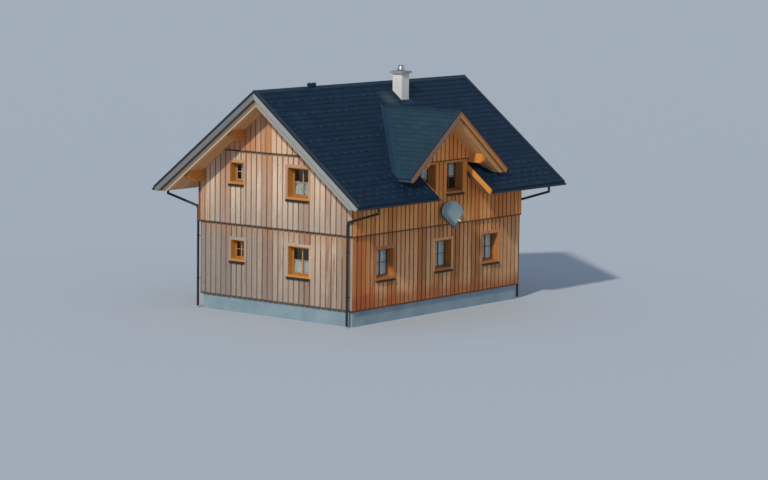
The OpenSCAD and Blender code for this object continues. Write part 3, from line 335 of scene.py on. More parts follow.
# float glass: clear panes, washed but streaked a little by weather
def glassMaterial(name):
    material, shader, add = startMaterial(name, {
        "Base Color": linear("#e6eef0"), "Roughness": 0.03, "IOR": 1.5, "Transmission Weight": 1.0})
    place = add("TexCoord", out="Object")
    smear = add("TexNoise", {"Vector": place, "Scale": 2.2, "Detail": 3.0})
    bump = add("Bump", {"Strength": 0.06, "Distance": 0.004, "Height": smear})
    link(bump, shader.inputs["Normal"])
    return material


# thin woven cotton: soft, even white; its threads stand every 0.7 mm, drawn every 6 mm so that they show
def clothMaterial(name):
    material, shader, add = startMaterial(name, {"Roughness": 0.9, "Sheen Weight": 0.25})
    place = add("TexCoord", out="UV")
    warp, weft = [add("TexWave", {"Vector": place, "Scale": 52.0}, "Fac", bands_direction=way)
                  for way in ("X", "Y")]
    both = add("Math", (warp, weft), operation="ADD")
    shade = add("ValToRGB", [both], stops=[(0.2, "#d9dee0"), (0.9, "#ecefef")])
    link(shade, shader.inputs["Base Color"])
    bump = add("Bump", {"Strength": 0.2, "Distance": 0.001, "Height": both})
    link(bump, shader.inputs["Normal"])
    return material


glass = glassMaterial("windowGlassClear")
cloth = clothMaterial("cottonCurtainWoven")
print("materials made")


# small modelling helpers
def setMode(mode):
    bpy.ops.object.mode_set(mode=mode)


def only(piece):
    if bpy.context.object and bpy.context.object.mode != "OBJECT":
        setMode("OBJECT")
    bpy.ops.object.select_all(action="DESELECT")
    piece.select_set(True)
    bpy.context.view_layer.objects.active = piece


def settle(piece):
    only(piece)
    bpy.ops.object.transform_apply(location=True, rotation=True, scale=True)
    return piece


def addBar(name, low, high):
    low, high = Vector(low), Vector(high)
    bpy.ops.mesh.primitive_cube_add(size=1, location=(low + high) / 2, scale=high - low)
    bar = bpy.context.object
    bar.name = bar.data.name = name
    return settle(bar)


def addTube(name, start, end, radius, corners):
    start, end = Vector(start), Vector(end)
    bpy.ops.mesh.primitive_cylinder_add(
        vertices=corners, radius=radius, depth=(end - start).length, location=(start + end) / 2,
        rotation=(end - start).to_track_quat("Z", "Y").to_euler())
    tube = bpy.context.object
    tube.name = tube.data.name = name
    return settle(tube)


def editAll(piece):
    only(piece)
    setMode("EDIT")
    bpy.ops.mesh.select_all(action="SELECT")


def pick(piece, kind, wanted):
    # selects the points, edges or faces whose corners pass the test, and stays in edit mode
    only(piece)
    setMode("EDIT")
    bpy.ops.mesh.select_mode(type=kind)
    bpy.ops.mesh.select_all(action="DESELECT")
    setMode("OBJECT")
    points = [v.co for v in piece.data.vertices]
    parts = {"VERT": piece.data.vertices, "EDGE": piece.data.edges, "FACE": piece.data.polygons}[kind]
    for part in parts:
        corners = [part.co] if kind == "VERT" else [points[i] for i in part.vertices]
        part.select = wanted(corners)
    setMode("EDIT")


def bevelPicked(piece, kind, offset, segments, wanted):
    pick(piece, kind, wanted)
    bpy.ops.mesh.bevel(offset=offset, segments=segments)
    setMode("OBJECT")


def modify(piece, kind, **settings):
    only(piece)
    modifier = piece.modifiers.new(kind.title(), kind)
    for key, value in settings.items():
        setattr(modifier, key, value)
    bpy.ops.object.modifier_apply(modifier=modifier.name)
    return piece


def rounded(piece, width, segments=1):
    return modify(piece, "BEVEL", width=width, segments=segments, limit_method="ANGLE")


def repeat(piece, count, step):
    return modify(piece, "ARRAY", count=count, use_relative_offset=False, use_constant_offset=True,
                  constant_offset_displace=step)


def cut(piece, tool, how="DIFFERENCE"):
    modify(piece, "BOOLEAN", operation=how, object=tool, solver="EXACT")
    bpy.data.objects.remove(tool)
    return piece


def trim(piece, away, point=(0, 0, 0)):
    # takes off what lies beyond a plane and closes the cut
    editAll(piece)
    bpy.ops.mesh.bisect(plane_co=point, plane_no=away, use_fill=True, clear_outer=True)
    setMode("OBJECT")
    return piece


def laid(piece, place, away, level=None):
    # puts a flat piece on its slope, cuts it off at the ridge and, where a level is given, at the bottom
    piece.data.transform(place)
    trim(piece, away)
    return piece if level is None else trim(piece, (0, 0, -1), (0, 0, level))


def copyOf(piece, name, move=None):
    twin = bpy.data.objects.new(name, piece.data.copy())
    bpy.context.scene.collection.objects.link(twin)
    if move is not None:
        twin.data.transform(move)
        if move.determinant() < 0:
            twin.data.flip_normals()
    return twin


def withTwins(piece, *moves):
    return [piece] + [copyOf(piece, "twin", move) for move in moves]


def cadCopy(node):
    twin = copyOf(nodes[node], node + "Copy")
    editAll(twin)
    bpy.ops.mesh.remove_doubles(threshold=0.00005)
    setMode("OBJECT")
    return twin


def joined(name, pieces):
    only(pieces[0])
    for piece in pieces[1:]:
        piece.select_set(True)
    if len(pieces) > 1:
        bpy.ops.object.join()
    pieces[0].name = pieces[0].data.name = name
    return pieces[0]


def finished(piece, material, slot, *replaced):
    settle(piece)
    piece.data.materials.clear()
    piece.data.materials.append(material)
    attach(piece, "root")
    if replaced:
        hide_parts(*replaced)
    return piece


def markFaces(piece, name, values):
    piece.data.attributes.new(name, "FLOAT", "FACE").data.foreach_set("value", values.astype(np.float32))


def toneByPlace(piece, cellOf, seed):
    # each board or tile gets its own number between 0 and 1, from where it stands
    mesh = piece.data
    centres = np.empty(len(mesh.polygons) * 3)
    mesh.polygons.foreach_get("center", centres)
    cells = cellOf(centres.reshape(-1, 3))
    markFaces(piece, "tone", np.modf(np.abs(np.sin(cells * 12.9898 + seed) * 43758.5453))[0])
    return piece


halfTurn = Matrix.Rotation(math.radians(180), 4, "Z")
turnLeft = Matrix.Rotation(math.radians(-90), 4, "Z")  # from the front to the left gable
turnRight = Matrix.Rotation(math.radians(90), 4, "Z")
flipX = Matrix.Diagonal((-1, 1, 1, 1))
fourCorners = (flipX, halfTurn, halfTurn @ flipX)
# what is made flat, along X and down -Y, is tilted onto the front slope or a slope of the dormer
tilt = Matrix.Rotation(house["pitch"], 4, "X")
onSlope = Matrix.Translation((0, 0, house["ridge"])) @ tilt
onDormer = Matrix.Translation((0, 0, house["dormerRidge"])) @ tilt
reach = 20  # further than the house in any direction
hair = 0.001  # tolerance when edges and faces are picked

# camera: fitted to the corners of the house in the photograph
view = dict(place=(-93.2103, -75.0027, 17.4783), heading=51.6137, down=7.0694, roll=0.7228, lens=136.75,
            sensor=36, near=1, far=3000)
bpy.ops.object.camera_add(location=view["place"])
camera = bpy.context.object
camera.rotation_euler = (
    Matrix.Rotation(-math.radians(view["heading"]), 3, "Z")
    @ Matrix.Rotation(math.radians(90 - view["down"]), 3, "X")
    @ Matrix.Rotation(math.radians(view["roll"]), 3, "Z")).to_euler()
camera.data.lens = view["lens"]
camera.data.sensor_width = view["sensor"]
camera.data.clip_start, camera.data.clip_end = view["near"], view["far"]
bpy.context.scene.camera = camera

# boards: an upright board stands over every gap of the layer behind it
# the layer behind the boards is darkened with painted shade and dirt
boards = dict(width=0.212, module=0.275, proud=0.028, recess=0.035, edge=0.004, inset=0.0004, foot=0.001,
              layerShadeAndDirt=0.85, corner=0.04, spare=0.1)


def boardSteps(halfSpan):
    count = round((2 * halfSpan - boards["width"]) / boards["module"]) + 1
    return count, (2 * halfSpan - boards["width"]) / (count - 1)


def boardRow(name, halfSpan, bottom, top, face):
    # boards along X whose outer faces lie at Y = -face
    count, step = boardSteps(halfSpan)
    face -= boards["inset"]
    row = addBar(name, (-halfSpan, -face, bottom + boards["foot"]),
                 (-halfSpan + boards["width"], -face + boards["proud"], top))
    bevelPicked(row, "EDGE", boards["edge"], 2, lambda p: (
        max(p[0].y, p[1].y) < -face + hair and min(p[0].z, p[1].z) < top - 10 * hair))
    return repeat(row, count, (step, 0, 0))


def boardBand(name, band):
    # the outer boards and the layer behind them are both cut out of the solid of the CAD node
    halfSpan, bottom, face = band["halfSpan"], band["bottom"], band["face"]
    across = 1 if band["gable"] else 0  # the axis along which the boards follow each other
    row = boardRow(name, halfSpan, bottom, band["top"], face)
    if band["gable"]:
        row.data.transform(turnLeft)
    rows = [row] if "back" in band else withTwins(row, halfTurn)
    outer = cut(joined(name, rows), cadCopy(band["node"]), "INTERSECT")
    depth = face - boards["proud"]
    low, high = (-band["room"], -depth), (band["room"], band.get("back", depth))
    if band["gable"]:
        low, high = low[::-1], high[::-1]
    box = addBar("layerBox", (*low, bottom + boards["recess"]), (*high, reach))
    layer = cut(cadCopy(band["node"]), box, "INTERSECT")
    count, step = boardSteps(halfSpan)
    # the layer behind the boards, and on the long sides the sides of the outer boards, are marked for
    # painted shade and dirt
    for part, shadeAndDirt in ((outer, 0.0), (layer, boards["layerShadeAndDirt"])):
        toneByPlace(part, lambda c: np.round(
            (c[:, across] + halfSpan - boards["width"] / 2) / step) + 61 * np.sign(c[:, 1 - across]), 1.7)
        normals = np.empty(len(part.data.polygons) * 3)
        part.data.polygons.foreach_get("normal", normals)
        sideways = np.abs(normals.reshape(-1, 3)[:, across]) > 0.9
        markFaces(part, "under", np.where(sideways, max(shadeAndDirt, band["sideShadeAndDirt"]), shadeAndDirt))
    return finished(joined(name, [outer, layer]), wood[band["look"]], band["slot"], band["node"])


# room is half the width, and back the far side, of the box that holds the layer behind the boards;
# the top is at least as high as the solid that the boards are cut from
hl, hw, stepOut = house["halfLength"], house["halfWidth"], house["stepOut"]
# on the long sides the sides of the outer boards get painted shade with some dirt
longSide = dict(gable=False, room=reach, slot="front_boards", sideShadeAndDirt=0.45)
gableSide = dict(gable=True, room=reach, slot="gable_boards", sideShadeAndDirt=0.0, halfSpan=hw - boards["corner"])
for name, band in dict(
        lowerFrontBoards=dict(
            longSide, node="lower_boards_long_sides", look="frontLower", halfSpan=hl, face=hw,
            bottom=house["plinthTop"], top=house["storeyLine"] + boards["spare"]),
        lowerGableBoards=dict(
            gableSide, node="lower_boards_gables", look="gableLower", face=hl,
            bottom=house["plinthTop"], top=house["storeyLine"] + boards["spare"]),
        upperFrontBoards=dict(
            longSide, node="upper_boards_long_sides", look="frontUpper", halfSpan=hl + stepOut,
            face=hw + stepOut, bottom=house["storeyLine"], top=6.3),
        upperGableBoards=dict(
            gableSide, node="upper_boards_gables", look="gableUpper", face=hl + stepOut,
            bottom=house["storeyLine"], top=house["gableLine"] + boards["spare"]),
        topGableBoards=dict(
            gableSide, node="top_boards", look="gableTop", face=hl + 2 * stepOut,
            bottom=house["gableLine"], top=8.7, room=3.5, slot="top_boards"),
        topDormerBoards=dict(
            longSide, node="top_boards", look="dormerTop", halfSpan=house["dormerHalf"],
            face=hw + 2 * stepOut, bottom=house["dormerLine"], top=7.9, room=2, back=-3.9,
            slot="top_boards", sideShadeAndDirt=0.4)).items():
    boardBand(name, band)
print("boards in place")

# roof tiles: folded sheet panels in courses, the lower edge of each standing over the next
tiles = dict(width=0.43, courses=26, dormerCourses=16, gap=0.004, lift=0.012, sink=0.006, fold=0.003,
             skin=0.001)
mainCourse = house["eavesReach"] / slopeCos / tiles["courses"]
dormerCourse = house["dormerReach"] / slopeCos / tiles["dormerCourses"]


def tileField(name, course, start, end, first, count, seed):
    # panels laid flat along X and down -Y, every other course half a panel over
    wide, gap = tiles["width"], tiles["gap"]
    top = -first * course
    overs = [-wide / 2 * ((first + i) % 2) for i in (0, 1)]
    field = addBar(name, (start + overs[0], top - course + gap / 2, -tiles["sink"]),
                   (start + overs[0] + wide - gap, top, tiles["skin"]))
    pick(field, "VERT", lambda p: p[0].y < top - course / 2 and p[0].z > 0)
    bpy.ops.transform.translate(value=(0, 0, tiles["lift"]))
    setMode("OBJECT")
    bevelPicked(field, "EDGE", tiles["fold"], 2, lambda p: (
        max(p[0].y, p[1].y) < top - course / 2 and min(p[0].z, p[1].z) > 0))
    nextCourse = copyOf(field, "nextCourse", Matrix.Translation((overs[1] - overs[0], -course, 0)))
    field = joined(name, [field, nextCourse])
    repeat(field, math.ceil((end - start) / wide) + 1, (wide, 0, 0))
    repeat(field, math.ceil(count / 2), (0, -2 * course, 0))
    trim(field, (-1, 0, 0), (start, 0, 0))
    trim(field, (1, 0, 0), (end, 0, 0))
    if count % 2:
        trim(field, (0, -1, 0), (0, top - count * course + gap / 4, 0))
    return toneByPlace(field, lambda c: np.floor(-c[:, 1] / course) * 97 + np.floor(
        (c[:, 0] - start) / wide + 0.5 * (np.floor(-c[:, 1] / course) % 2)), seed)


# courses 0 to 3 lie above the dormer, 4 to 20 beside it and 21 to 25 below it
side, cutLine = house["roofHalf"], house["cutLine"]
valleyRoom = 0.25  # the panels stop this far short of the valley line, measured along Y
stackRoom = ((1.19, -1.14, 7), (1.95, -0.38, 10))
above = tileField("aboveDormer", mainCourse, -side, side, 0, 4, 2.3)
beside = tileField("leftOfDormer", mainCourse, -side, side, 4, 17, 2.3)
below = tileField("belowDormer", mainCourse, -side, side, 21, 5, 2.3)
for part in (above, beside, below):
    part.data.transform(onSlope)
besideRight = copyOf(beside, "rightOfDormer")
belowRight = copyOf(below, "rightBelow")
for part, sign in ((beside, 1), (besideRight, -1)):
    trim(part, (sign, 0, 0))
    trim(part, (sign, -1, 0), (0, valleyTop + valleyRoom, 0))
for part, sign in ((below, 1), (belowRight, -1)):
    trim(part, (sign, 0, 0), (-sign * cutLine, 0, 0))
field = joined("frontTilePanels", [above, beside, besideRight, below, belowRight])
cut(field, addBar("stackRoom", *stackRoom))
finished(field, coat["tiles"], "roof_tiles")
backField = tileField("backTilePanels", mainCourse, -side, side, 0, tiles["courses"], 8.1)
backField.data.transform(halfTurn @ onSlope)
finished(backField, coat["tiles"], "roof_tiles")

sides = []
for turn, start, end, sign in (
        (turnLeft, -valleyTop, -house["dormerFront"], -1), (turnRight, house["dormerFront"], valleyTop, 1)):
    part = tileField("dormerTilePanels", dormerCourse, start, end, 0, tiles["dormerCourses"], 4.9)
    part.data.transform(turn @ onDormer)
    sides.append(trim(part, (sign, 1, 0), (0, valleyTop - valleyRoom, 0)))
finished(joined("dormerTilePanels", sides), coat["dormerTilesPaintedLight"], "roof_tiles")
print("roof tiles laid")

# ridge sheets in lengths, with a strap over every joint
cap = dict(leg=0.172, low=0.010, high=0.015, length=0.98, gap=0.002, over=0.02, edge=0.0015, intoRoof=0.3,
           strap=0.04, strapLow=0.008, strapHigh=0.018, strapLeg=0.175)


def ridgeRun(name, start, end):
    count = round((end - start) / cap["length"])
    length = (end - start) / count
    leg = addBar(name, (start, -cap["leg"], cap["low"]),
                 (start + length - cap["gap"], cap["over"], cap["high"]))
    repeat(leg, count, (length, 0, 0))
    joint, half = start + length, cap["strap"] / 2
    strap = addBar("strap", (joint - half, -cap["strapLeg"], cap["strapLow"]),
                   (joint + half, cap["over"], cap["strapHigh"]))
    repeat(strap, count - 1, (length, 0, 0))
    return rounded(joined(name, [leg, strap]), cap["edge"])


run = laid(ridgeRun("ridgeSheets", -side, side), onSlope, (0, 1, 0))
runs = withTwins(run, halfTurn)
run = ridgeRun("dormerRidge", house["dormerFront"], valleyTop + cap["intoRoof"])
laid(run, turnRight @ onDormer, (-1, 0, 0))
trim(run, (0, slopeSin, -slopeCos), (0, 0, house["ridge"]))
runs += withTwins(run, flipX)
finished(joined("ridgeSheets", runs), coat["folded"], "roof_metal", "ridge_caps")

# roof hooks: a strap with an upturned nose, staggered over the slopes
hook = dict(width=0.03, length=0.11, thick=0.004, nose=0.032, level=0.011, first=-6.5, spread=0.52,
            inRow=26, inCourse=0.62, rows=(2, 5, 8, 11, 14, 17, 20, 22, 23, 24), besideValley=8,
            valleySpread=0.42, valleyStart=0.5, eavesRows=20, bareFrom=1.5, chimney=(1.0, 2.1, -1.4, -0.2),
            cutEaves=-4.4, besideDormer=2.0, besideLine=0.3, aboveLine=0.45)
strap = addBar("roofHook", (-hook["width"] / 2, -hook["length"], hook["level"]),
               (hook["width"] / 2, 0, hook["level"] + hook["thick"]))
editAll(strap)
bpy.ops.mesh.bisect(plane_co=(0, -hook["length"] + hook["thick"], 0), plane_no=(0, 1, 0))
setMode("OBJECT")
pick(strap, "FACE", lambda p: (
    min(q.z for q in p) > hook["level"] + 3 * hair and max(q.y for q in p) < -hook["length"] + 5 * hair))
bpy.ops.mesh.extrude_region_move(TRANSFORM_OT_translate={"value": (0, 0, hook["nose"])})
setMode("OBJECT")


def frontHasHook(course, across, level):
    # none to the right of the dormer, apart from the rows near the eaves, and none around the chimney
    left, right, low, high = hook["chimney"]
    if course < hook["eavesRows"] and across > hook["bareFrom"]:
        return False
    if left < across < right and low < level < high:
        return False
    if level < hook["cutEaves"]:  # the eaves are cut beside the dormer
        return abs(across) > hook["besideDormer"]
    clear = max(hook["besideDormer"], valleyTop - level + hook["besideLine"])
    return abs(across) > clear or level > valleyTop + hook["aboveLine"]


hooks = []
for course in hook["rows"]:
    down = (course + hook["inCourse"]) * mainCourse
    level = -down * slopeCos
    for i in range(hook["inRow"]):
        across = hook["first"] + hook["spread"] * (i + 0.5 * (course % 2))
        spot = onSlope @ Matrix.Translation((across, -down, 0))
        hooks.append(copyOf(strap, "hook", halfTurn @ spot))
        if frontHasHook(course, across, level):
            hooks.append(copyOf(strap, "hook", spot))
for i in range(hook["besideValley"]):  # a line beside the left valley
    level = valleyTop - hook["valleyStart"] - hook["valleySpread"] * i
    across = level - valleyTop - hook["valleySpread"]
    hooks.append(copyOf(strap, "hook", onSlope @ Matrix.Translation((across, level / slopeCos, 0))))
bpy.data.objects.remove(strap)
finished(joined("roofHooks", hooks), coat["hook"], "roof_metal")
print("ridge sheets and roof hooks in place:", len(hooks))

# soffit boards under the overhangs, laid down the slope and cut off level above the eaves
soffit = dict(width=0.143, gap=0.003, thick=0.012, edge=0.004, into=0.0005, top=-0.6, foot=6.7, level=4.806,
              deckEnd=6.72, offWall=0.005, pastDormer=0.05, dormerFront=-4.86, dormerBack=-3.5,
              dormerFoot=3.9, dormerLevel=5.589)


def soffitRun(name, start, end, downFrom, downTo):
    count = max(1, round((end - start) / soffit["width"]))
    step = (end - start) / count
    low = -house["deckDepth"] - soffit["thick"]
    run = addBar(name, (start, -downTo, low),
                 (start + step - soffit["gap"], -downFrom, low + soffit["thick"] + soffit["into"]))
    bevelPicked(run, "EDGE", soffit["edge"], 1, lambda p: (
        max(p[0].z, p[1].z) < low + hair and abs(p[0].x - p[1].x) < hair))
    repeat(run, count, (step, 0, 0))
    return toneByPlace(run, lambda c: np.floor((c[:, 0] - start) / step), 3.3)


wallEnd, inner = hl + stepOut + soffit["offWall"], house["dormerHalf"] + soffit["pastDormer"]
wallLine = (hw + stepOut) / slopeCos
gableRun = soffitRun("soffitBoards", wallEnd, soffit["deckEnd"], soffit["top"], soffit["foot"])
laid(gableRun, onSlope, (0, 1, 0))
eavesRun = soffitRun("eavesRun", inner, wallEnd, wallLine, soffit["foot"])
eavesRun.data.transform(onSlope)
middleRun = soffitRun("middleRun", -inner, inner, wallLine, soffit["foot"])
middleRun.data.transform(halfTurn @ onSlope)
runs = withTwins(gableRun, *fourCorners) + withTwins(eavesRun, *fourCorners) + [middleRun]
soffitBoards = trim(joined("soffitBoards", runs), (0, 0, -1), (0, 0, soffit["level"]))
finished(soffitBoards, wood["soffit"], "soffit_boards")
run = soffitRun("dormerSoffitBoards", soffit["dormerFront"], soffit["dormerBack"], soffit["top"],
                soffit["dormerFoot"])
laid(run, turnRight @ onDormer, (-1, 0, 0), soffit["dormerLevel"])
finished(joined("dormerSoffitBoards", withTwins(run, flipX)), wood["dormerSoffit"], "soffit_boards")

# bright battens along the lower edge of the inner verge boards
batten = dict(near=6.690, far=6.756, top=-0.450, low=-0.487, foot=-6.9, over=0.7, level=4.815)
strip = addBar("vergeBattens", (batten["near"], batten["foot"], batten["low"]),
               (batten["far"], batten["over"], batten["top"]))
laid(strip, onSlope, (0, 1, 0), batten["level"])
finished(joined("vergeBattens", withTwins(strip, *fourCorners)), wood["batten"], "verge_wood")
# folded edge sheets lie over the roof's rim and hang down over the outer verge boards
edge = dict(top=0.021, under=0.016, cover=0.13, near=0.0005, far=0.006, drop=0.078, dormerDrop=0.036,
            over=0.3, round=0.0015)


def edgeSheet(name, face, downTo, drop):
    face += edge["near"]
    strip = joined(name, [
        addBar(name, (face - edge["cover"], -downTo, edge["under"]),
               (face + edge["far"], edge["over"], edge["top"])),
        addBar("leg", (face, -downTo, -drop), (face + edge["far"], edge["over"], edge["under"]))])
    return rounded(strip, edge["round"])


strip = edgeSheet("edgeSheets", side, house["eavesReach"] / slopeCos, edge["drop"])
laid(strip, onSlope, (0, 1, 0))
strips = withTwins(strip, *fourCorners)
strip = edgeSheet("dormerEdge", -house["dormerFront"], house["dormerReach"] / slopeCos, edge["dormerDrop"])
laid(strip, turnLeft @ onDormer, (1, 0, 0))
finished(joined("edgeSheets", strips + withTwins(strip, flipX)), coat["edge"], "roof_metal")
# two stepped boards close each cut end of the eaves beside the dormer, with a dark board below them whose
# colour is painted shade
cutEnd = dict(wall=-4.07, foot=-6.76, edge=0.003)
for name, material, replaced, pieces in (
        ("cutEndBoards", wood["cutEnd"], ["roof_cut_boards"],
         ((1.736, -0.13, -0.002), (1.756, -0.215, -0.142))),
        ("cutEndShadeBoards", wood["cutEndShade"], [], ((1.771, -0.385, -0.10),))):
    strips = []
    for near, low, high in pieces:
        strip = addBar(name, (near, cutEnd["foot"], low), (cutLine, cutEnd["wall"] / slopeCos, high))
        rounded(strip, cutEnd["edge"])
        strip.data.transform(onSlope)
        trim(strip, (0, 0, -1), (0, 0, soffit["level"]))
        strips += withTwins(strip, flipX)
    finished(joined(name, strips), material, "dormer_verge_wood", *replaced)
# a reddish batten along the upper edge of the dormer's outer verge board
outer = dict(near=5.018, far=5.032, low=-0.095, top=-0.036, short=0.01, over=0.3)
foot = outer["short"] - house["dormerReach"] / slopeCos
strip = addBar("dormerBattens", (outer["near"], foot, outer["low"]),
               (outer["far"], outer["over"], outer["top"]))
laid(strip, turnLeft @ onDormer, (1, 0, 0))
finished(joined("dormerBattens", withTwins(strip, flipX)), wood["dormerBatten"], "dormer_verge_wood")
# drip edges carry the water from the tiles into the gutters
apron = dict(y=5.349, thick=0.004, low=4.886, high=4.973, off=0.0005, back=-4.35, dormerLow=5.595)


def eavesRuns(far, near=1.78):
    # side of the house, start and end of each eaves; the front is broken by the dormer
    return (-1, -far, -near), (-1, near, far), (1, -far, far)


strips = []
for sign, start, end in eavesRuns(side):
    low, high = sorted((sign * apron["y"], sign * (apron["y"] - apron["thick"])))
    strips.append(addBar("eavesAprons", (start, low, apron["low"]), (end, high, apron["high"])))
dormerRim, front = house["dormerReach"], house["dormerFront"]
rimLevel = house["dormerRidge"] - dormerRim * slopeSin / slopeCos
near = dormerRim + apron["off"]
for low, high in ((near, near + apron["thick"]), (-near - apron["thick"], -near)):
    strips.append(addBar("eavesAprons", (low, front, apron["dormerLow"]), (high, apron["back"], rimLevel)))
finished(joined("eavesAprons", strips), coat["folded"], "roof_metal")
# a paler fold runs along the dormer's aprons
drip = dict(near=dormerRim + 0.0045, far=dormerRim + 0.0165, low=5.64, high=5.7, edge=0.003)
low, high = (drip["near"], front, drip["low"]), (drip["far"], apron["back"], drip["high"])
strip = rounded(addBar("dormerDrips", low, high), drip["edge"], 2)
finished(joined("dormerDrips", withTwins(strip, flipX)), coat["drip"], "roof_metal")
print("soffits and verges dressed")

# windows: four kinds, with how far the boards stand out there; then the turn and distance of the wall,
# the place along it, the height of the curtain rail, and how much of what is below the rail is covered
lowWide, highWide, lowNarrow, highNarrow = [
    dict(wide=wide, sill=sill, head=head, standOut=standOut) for wide, sill, head, standOut in (
        (1.125, 1.715, 2.965, 0.0), (1.125, 4.82, 6.105, stepOut),
        (0.75, 2.08, 2.965, 0.0), (0.75, 5.215, 6.105, stepOut))]
windows = dict(
    front=[dict(lowWide, turn=0, wall=hw, at=at, rail=1.0) for at in (-3.5, 0.3, 3.5)],
    dormer=[dict(highWide, turn=0, wall=hw, at=at, rail=1.0, cover=0.55) for at in (-0.9, 0.9)],
    back=[dict(lowWide, turn=180, wall=hw, at=at, rail=1.0) for at in (-3.5, 3.5)],
    leftBig=[dict(kind, turn=-90, wall=hl, at=1.2, rail=0.5) for kind in (lowWide, highWide)],
    leftSmall=[dict(lowNarrow, turn=-90, wall=hl, at=-2.01)],
    leftSmallUpper=[dict(highNarrow, turn=-90, wall=hl, at=-2.01)],
    right=[dict(kind, turn=90, wall=hl, at=-1.2, rail=0.5) for kind in (lowWide, highWide)]
    + [dict(kind, turn=90, wall=hl, at=2.01) for kind in (lowNarrow, highNarrow)],
)
sash = dict(frame=0.09, sill=0.15, stile=0.022, middle=0.026, bar=0.012, near=0.262, back=0.308,
            round=0.003, railIn=0.001, middleOut=0.004, barIn=0.003)
casing = dict(width=0.10, proud=0.003, back=0.02, low=-0.005, round=0.003)
lip = dict(side=0.031, out=0.07, near=0.003, back=0.002, low=-0.082, high=-0.022)


def setInWindow(piece, window):
    piece.data.transform(Matrix.Rotation(math.radians(window["turn"]), 4, "Z")
                         @ Matrix.Translation((window["at"], -window["wall"], window["sill"])))
    return piece


def sashBars(name, window):
    half, low = window["wide"] / 2 - sash["frame"], sash["sill"]
    top = window["head"] - window["sill"] - sash["frame"]
    near, back, stile, middle = sash["near"], sash["back"], sash["stile"], (low + top) / 2
    railNear, railBack = near + sash["railIn"], back - sash["railIn"]
    bars = [addBar(name, *box) for box in (
        ((-half, near, low), (-half + stile, back, top)),
        ((half - stile, near, low), (half, back, top)),
        ((-half, railNear, low), (half, railBack, low + stile)),
        ((-half, railNear, top - stile), (half, railBack, top)),
        ((-sash["middle"], near - sash["middleOut"], low), (sash["middle"], back, top)),
        ((-half, near + sash["barIn"], middle - sash["bar"]),
         (half, back - sash["barIn"], middle + sash["bar"])))]
    return setInWindow(rounded(joined(name, bars), sash["round"], 2), window)


def casingBoards(name, window):
    half, tall = window["wide"] / 2, window["head"] - window["sill"]
    width, low = casing["width"], casing["low"]
    near, back = -window["standOut"] - casing["proud"], -window["standOut"] + casing["back"]
    bars = [addBar(name, *box) for box in (
        ((-half - width, near, low), (-half, back, tall + width)),
        ((half, near, low), (half + width, back, tall + width)),
        ((-half, near, tall), (half, back, tall + width)))]
    return setInWindow(rounded(joined(name, bars), casing["round"]), window)


for name, keys, material in (
        ("gableSashes", "leftBig leftSmall right back", wood["sash"]),
        ("frontSashes", "front dormer", wood["sashShaded"]),
        ("paleSash", "leftSmallUpper", wood["sashPale"])):
    parts = [sashBars(name, window) for key in keys.split() for window in windows[key]]
    finished(joined(name, parts), material, "frame_wood")
for name, keys, upper, material, slot in (
        ("lowerGableCasings", "leftBig leftSmall right", False, wood["gableLower"], "gable_boards"),
        ("upperGableCasings", "leftBig leftSmallUpper right", True, wood["gableUpper"], "gable_boards"),
        ("lowerFrontCasings", "front back", False, wood["frontLower"], "front_boards"),
        ("dormerCasings", "dormer", True, wood["frontUpper"], "front_boards")):
    chosen = [w for key in keys.split() for w in windows[key] if (w["standOut"] > 0) == upper]
    parts = [toneByPlace(casingBoards(name, w), lambda c: np.full(len(c), w["at"] + w["sill"]), 6.2)
             for w in chosen]
    finished(joined(name, parts), material, slot)
everyWindow = [w for group in windows.values() for w in group]
lips = []
for window in everyWindow:
    half, y = window["wide"] / 2 + lip["side"], -window["standOut"] - lip["out"]
    bar = addBar("sillLips", (-half, y - lip["near"], lip["low"]), (half, y + lip["back"], lip["high"]))
    lips.append(setInWindow(bar, window))
finished(joined("sillLips", lips), coat["sill"], "dark_metal")
print("window joinery in place")

# curtains: gathered on their rails, the folds opening a little towards the hem
curtain = dict(fold=0.095, deep=0.016, inset=0.06, y=0.357, sill=0.15, top=0.24, inFold=10, rows=10,
               lean=0.012, leanTurns=5, atRail=0.55, opening=0.45)
sheets = {}
for window in [w for w in everyWindow if "rail" in w]:
    wide = window["wide"] - 2 * curtain["inset"]
    rail = window["rail"] * (window["head"] - window["sill"] - curtain["top"])
    tall = rail * window.get("cover", 1)
    folds = round(wide / curtain["fold"])
    bpy.ops.mesh.primitive_grid_add(
        x_subdivisions=folds * curtain["inFold"], y_subdivisions=curtain["rows"], size=1)
    piece = bpy.context.object
    piece.name = piece.data.name = "curtain" + str(len(sheets) + 1)
    flat = np.empty(len(piece.data.vertices) * 3)
    piece.data.vertices.foreach_get("co", flat)
    flat = flat.reshape(-1, 3)
    down = 0.5 - flat[:, 1]
    lean = curtain["lean"] * np.sin(curtain["leanTurns"] * down + len(sheets))
    swing = np.sin(2 * math.pi * folds * (flat[:, 0] + lean))
    bent = np.column_stack([
        flat[:, 0] * wide,
        curtain["y"] + curtain["deep"] * (curtain["atRail"] + curtain["opening"] * down) * swing,
        curtain["sill"] + rail - tall + (flat[:, 1] + 0.5) * tall])
    piece.data.vertices.foreach_set("co", bent.ravel())
    piece.data.update()
    area = sum(p.area for p in piece.data.polygons)
    uv = np.empty(len(piece.data.loops) * 2)
    piece.data.uv_layers[0].data.foreach_get("uv", uv)
    piece.data.uv_layers[0].data.foreach_set("uv", (uv.reshape(-1, 2) * (area / tall, tall)).ravel())
    only(piece)
    bpy.ops.object.shade_smooth()
    setInWindow(piece, window)
    finished(piece, cloth, "curtain_fabric", "curtains")
    sheets[piece.name] = (round(area / tall, 3), round(tall, 3))
print("curtains hung:", sheets)

